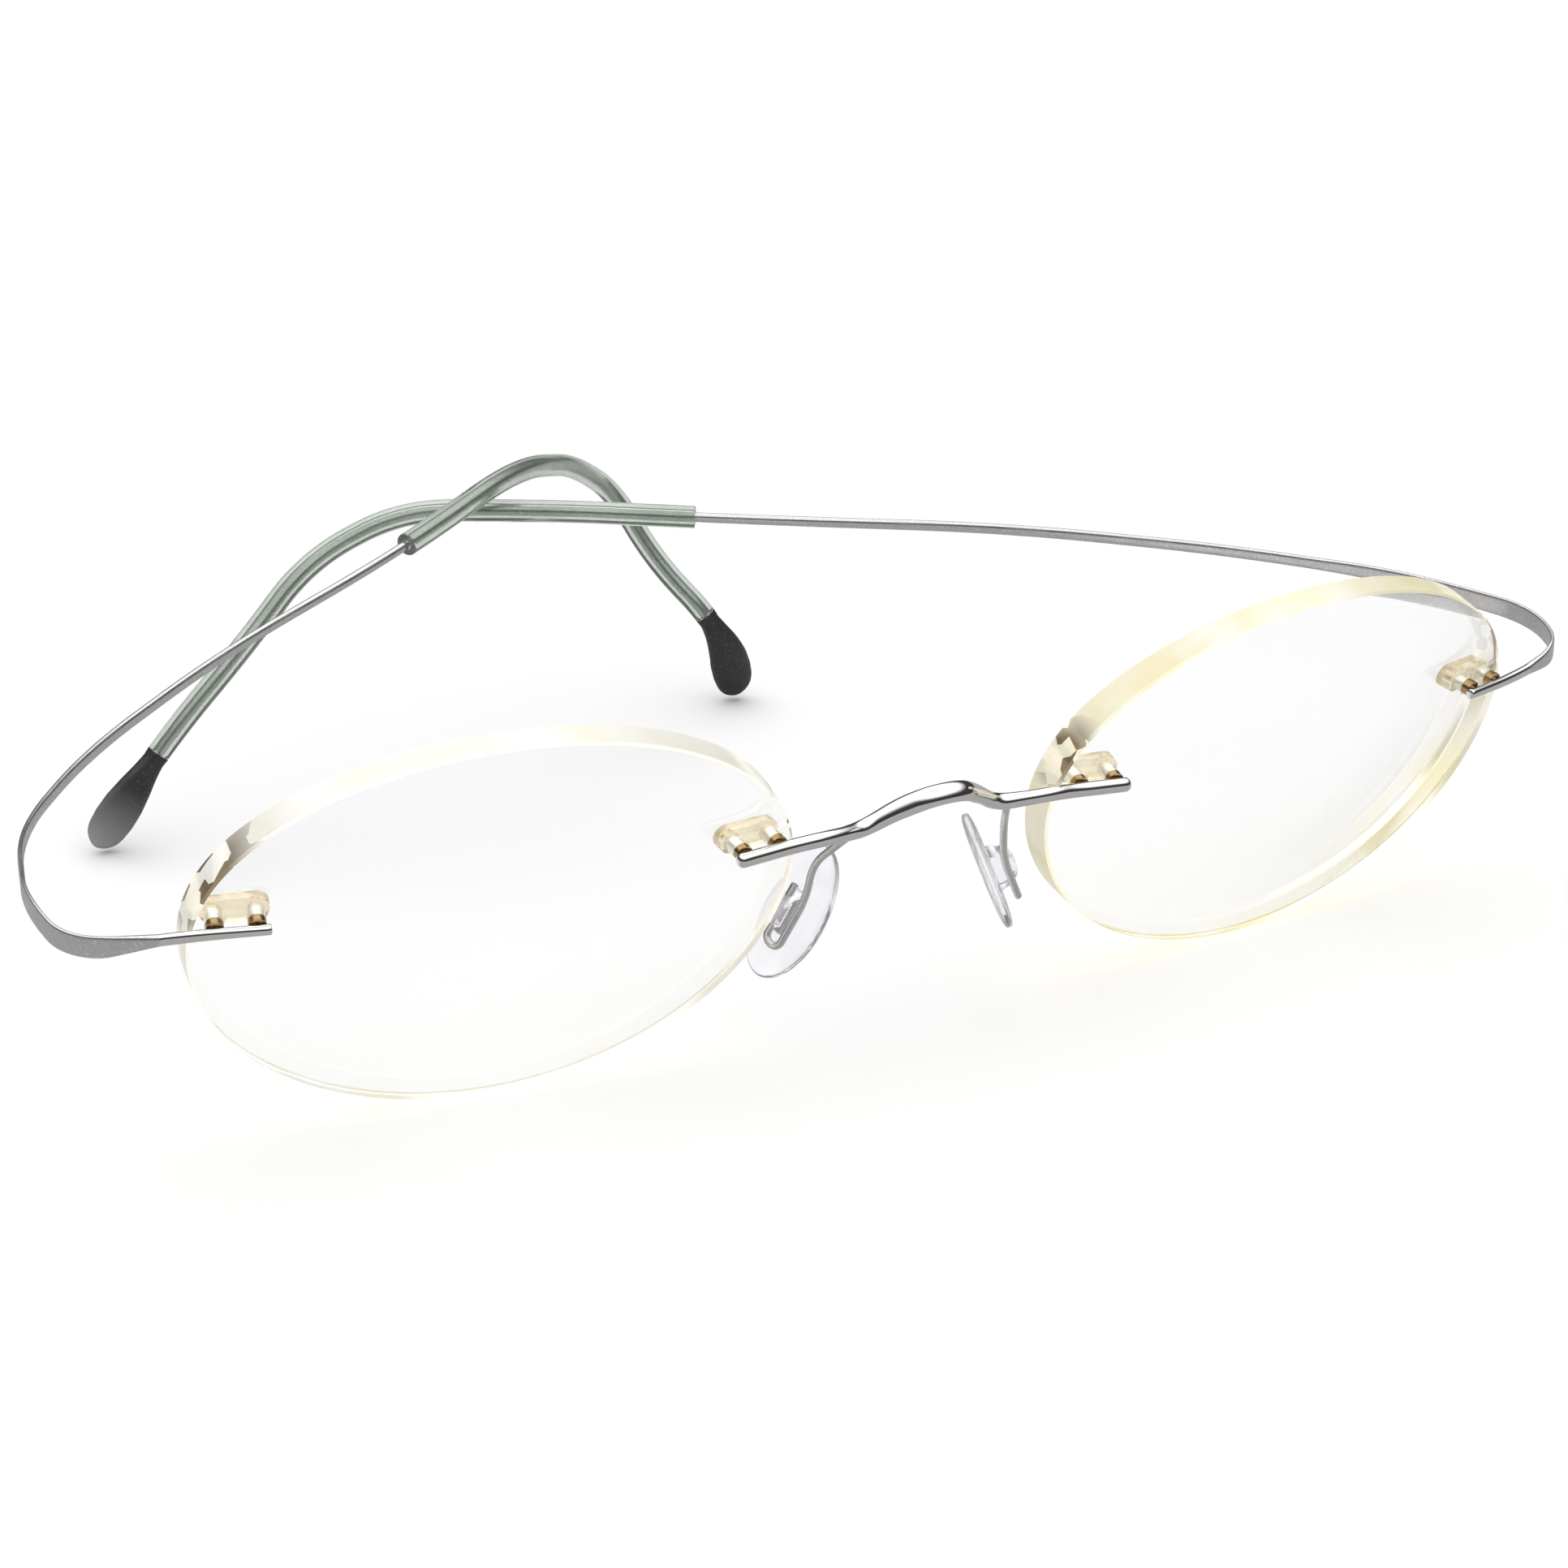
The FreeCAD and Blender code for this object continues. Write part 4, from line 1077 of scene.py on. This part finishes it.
for side in SIDES:
    start = LENGTHS[side] - TIP_LENGTH
    tip_line = line_part(LINES[side], start, LENGTHS[side])
    rows = [(start + share * TIP_LENGTH, thin * MM, wide * MM, TIP_POWER)
            for share, thin, wide in TIP_TABLE]
    wide_way = (SIDES[side] * TIP_WIDE[0], 0, TIP_WIDE[2])
    paddle = piece("paddle_tip_" + side,
                   swept(*tip_line, rows, wide_way, ring=TIP_RING, round_end=TIP_DOME), [tips[side].material],
                   side + "_temple", ["temple_tip_" + side], side)
    # Painted sheen along the tip: 0 up to a share of its length, then rising towards 1 at its end.
    spots = np.array([vertex.co for vertex in paddle.data.vertices])
    neck, end = [np.array(tip_line[0][i]) * (SIDES[side], 1, 1) for i in (0, -1)]
    along = (spots - neck) @ (end - neck) / ((end - neck) @ (end - neck))
    stored(paddle, "along_tip", np.clip((along - SHEEN_START) / SHEEN_RUN, 0, 1) ** SHEEN_POWER)
    print(paddle.name, "across in mm", round(2 * max(row[2] for row in TIP_TABLE), 1))

# %% [markdown]
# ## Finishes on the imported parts
# The pad arms, pins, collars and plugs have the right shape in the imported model. Making them again would
# add nothing, so they stay, and each gets its finish in place of the plain one.

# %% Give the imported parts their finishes
NODE_FINISH = {
    "pad_arm": satin, "bridge_pins": pin_metal, "temple_pins": pin_metal, "bridge_collars": collar_metal,
    "temple_collars": collar_metal, "nasal_plug": amber, "temporal_plug": amber,
}
for stem, finish in NODE_FINISH.items():
    for side in SIDES:
        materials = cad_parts[stem + "_" + side].data.materials
        materials.clear()
        materials.append(finish.material)
print("finished", len(NODE_FINISH) * len(SIDES), "nodes")

# %% [markdown]
# ## The table
# The glasses lie on a plain white table. Wires mirror far more of it than the eye sees, and a white
# mirror image would leave them with no shape, so they see a dull grey one. Light Path picks between the
# two. A ray that has passed through a lens still meets the white one, or the lens would look grey.

# %% Table
TABLE_HALF = 3.0
MIRRORED_GREY = 0.46


def table_top():
    """Flat white square under the glasses, grey where a surface mirrors it."""
    points = [(-TABLE_HALF, -TABLE_HALF, 0), (TABLE_HALF, -TABLE_HALF, 0),
              (TABLE_HALF, TABLE_HALF, 0), (-TABLE_HALF, TABLE_HALF, 0)]
    mesh = bpy.data.meshes.new("table")
    mesh.from_pydata(points, [], [(0, 1, 2, 3)])
    made = bpy.data.objects.new("table", mesh)
    bpy.context.scene.collection.objects.link(made)
    white = Finish("white_table", (0.93, 0.93, 0.93), Roughness=0.7)
    grain = white.group(HANDLING, Scale=8.0)
    white.tint(grain.outputs["Mark"], (0.935, 0.935, 0.935), (0.925, 0.925, 0.925))
    path = white.nodes.new("ShaderNodeLightPath")
    dull = white.nodes.new("ShaderNodeBsdfDiffuse")
    dull.inputs["Color"].default_value = (MIRRORED_GREY, MIRRORED_GREY, MIRRORED_GREY, 1)
    mix = white.nodes.new("ShaderNodeMixShader")
    mirrored = white.nodes.new("ShaderNodeMath")
    mirrored.operation = "SUBTRACT"
    mirrored.use_clamp = True
    white.links.new(path.outputs["Is Glossy Ray"], mirrored.inputs[0])
    white.links.new(path.outputs["Transmission Depth"], mirrored.inputs[1])
    white.links.new(mirrored.outputs[0], mix.inputs["Fac"])
    white.links.new(white.shader.outputs["BSDF"], mix.inputs[1])
    white.links.new(dull.outputs["BSDF"], mix.inputs[2])
    white.links.new(mix.outputs["Shader"], white.output.inputs["Surface"])
    mesh.materials.append(white.material)
    return made


table = table_top()
print("table", table.dimensions[:])

# %% [markdown]
# ## The sky
# Lamps would put small hard spots on a wire. A sky that changes only with height does better: bright
# above and dark round the horizon. It gives each wire a white line on top and a black band below it, with
# the table mirrored underneath. The camera itself sees plain white beyond the table.

# %% Sky
SKY_STRENGTH = 2.1
HORIZON_ROWS = [(0.0, 0.30), (0.49, 0.30), (0.51, 0.02), (0.725, 0.03), (0.79, 0.35), (0.88, 1.0),
                (1.0, 0.62)]
world = bpy.data.worlds.new("white_room")
bpy.context.scene.world = world
world.use_nodes = True
sky_nodes, sky_links = world.node_tree.nodes, world.node_tree.links
way = sky_nodes.new("ShaderNodeTexCoord")
split = sky_nodes.new("ShaderNodeSeparateXYZ")
height = sky_nodes.new("ShaderNodeMapRange")
height.inputs["From Min"].default_value = -1.0
ramp = sky_nodes.new("ShaderNodeValToRGB")
for row, (spot, grey) in enumerate(HORIZON_ROWS):
    stop = ramp.color_ramp.elements[row] if row < 2 else ramp.color_ramp.elements.new(spot)
    stop.position = spot
    stop.color = (grey, grey, grey, 1)
sky_links.new(way.outputs["Generated"], split.inputs["Vector"])
sky_links.new(split.outputs["Z"], height.inputs["Value"])
sky_links.new(height.outputs["Result"], ramp.inputs["Fac"])
sky_links.new(ramp.outputs["Color"], sky_nodes["Background"].inputs["Color"])
sky_nodes["Background"].inputs["Strength"].default_value = SKY_STRENGTH
plain = sky_nodes.new("ShaderNodeBackground")
sky_path = sky_nodes.new("ShaderNodeLightPath")
sky_mix = sky_nodes.new("ShaderNodeMixShader")
sky_links.new(sky_path.outputs["Is Camera Ray"], sky_mix.inputs["Fac"])
sky_links.new(sky_nodes["Background"].outputs["Background"], sky_mix.inputs[1])
sky_links.new(plain.outputs["Background"], sky_mix.inputs[2])
sky_links.new(sky_mix.outputs["Shader"], sky_nodes["World Output"].inputs["Surface"])
bpy.context.scene.view_settings.view_transform = "Standard"
print("sky stops", len(HORIZON_ROWS))

# %% [markdown]
# ## The camera
# The camera looks down from the front, on the wearer's right. It could be set by three angles, but a
# place, a point to aim at and a small roll are easier to read and to change.

# %% Camera
CAMERA_PLACE = Vector((-155.094, -302.162, 141.744)) * MM
CAMERA_AIM = Vector((7.04, -1.80, 7.36)) * MM
CAMERA_ROLL = math.radians(0.37)
CAMERA_LENS = 101.42
SENSOR_WIDTH = 36.0
NEAREST = 0.01
camera_data = bpy.data.cameras.new("camera")
camera_data.lens = CAMERA_LENS
camera_data.sensor_width = SENSOR_WIDTH
camera_data.clip_start = NEAREST
camera = bpy.data.objects.new("camera", camera_data)
bpy.context.scene.collection.objects.link(camera)
look = (CAMERA_AIM - CAMERA_PLACE).to_track_quat("-Z", "Y").to_matrix().to_4x4()
camera.matrix_world = Matrix.Translation(CAMERA_PLACE) @ look @ Matrix.Rotation(CAMERA_ROLL, 4, "Z")
bpy.context.scene.camera = camera
print("camera", camera.location[:])
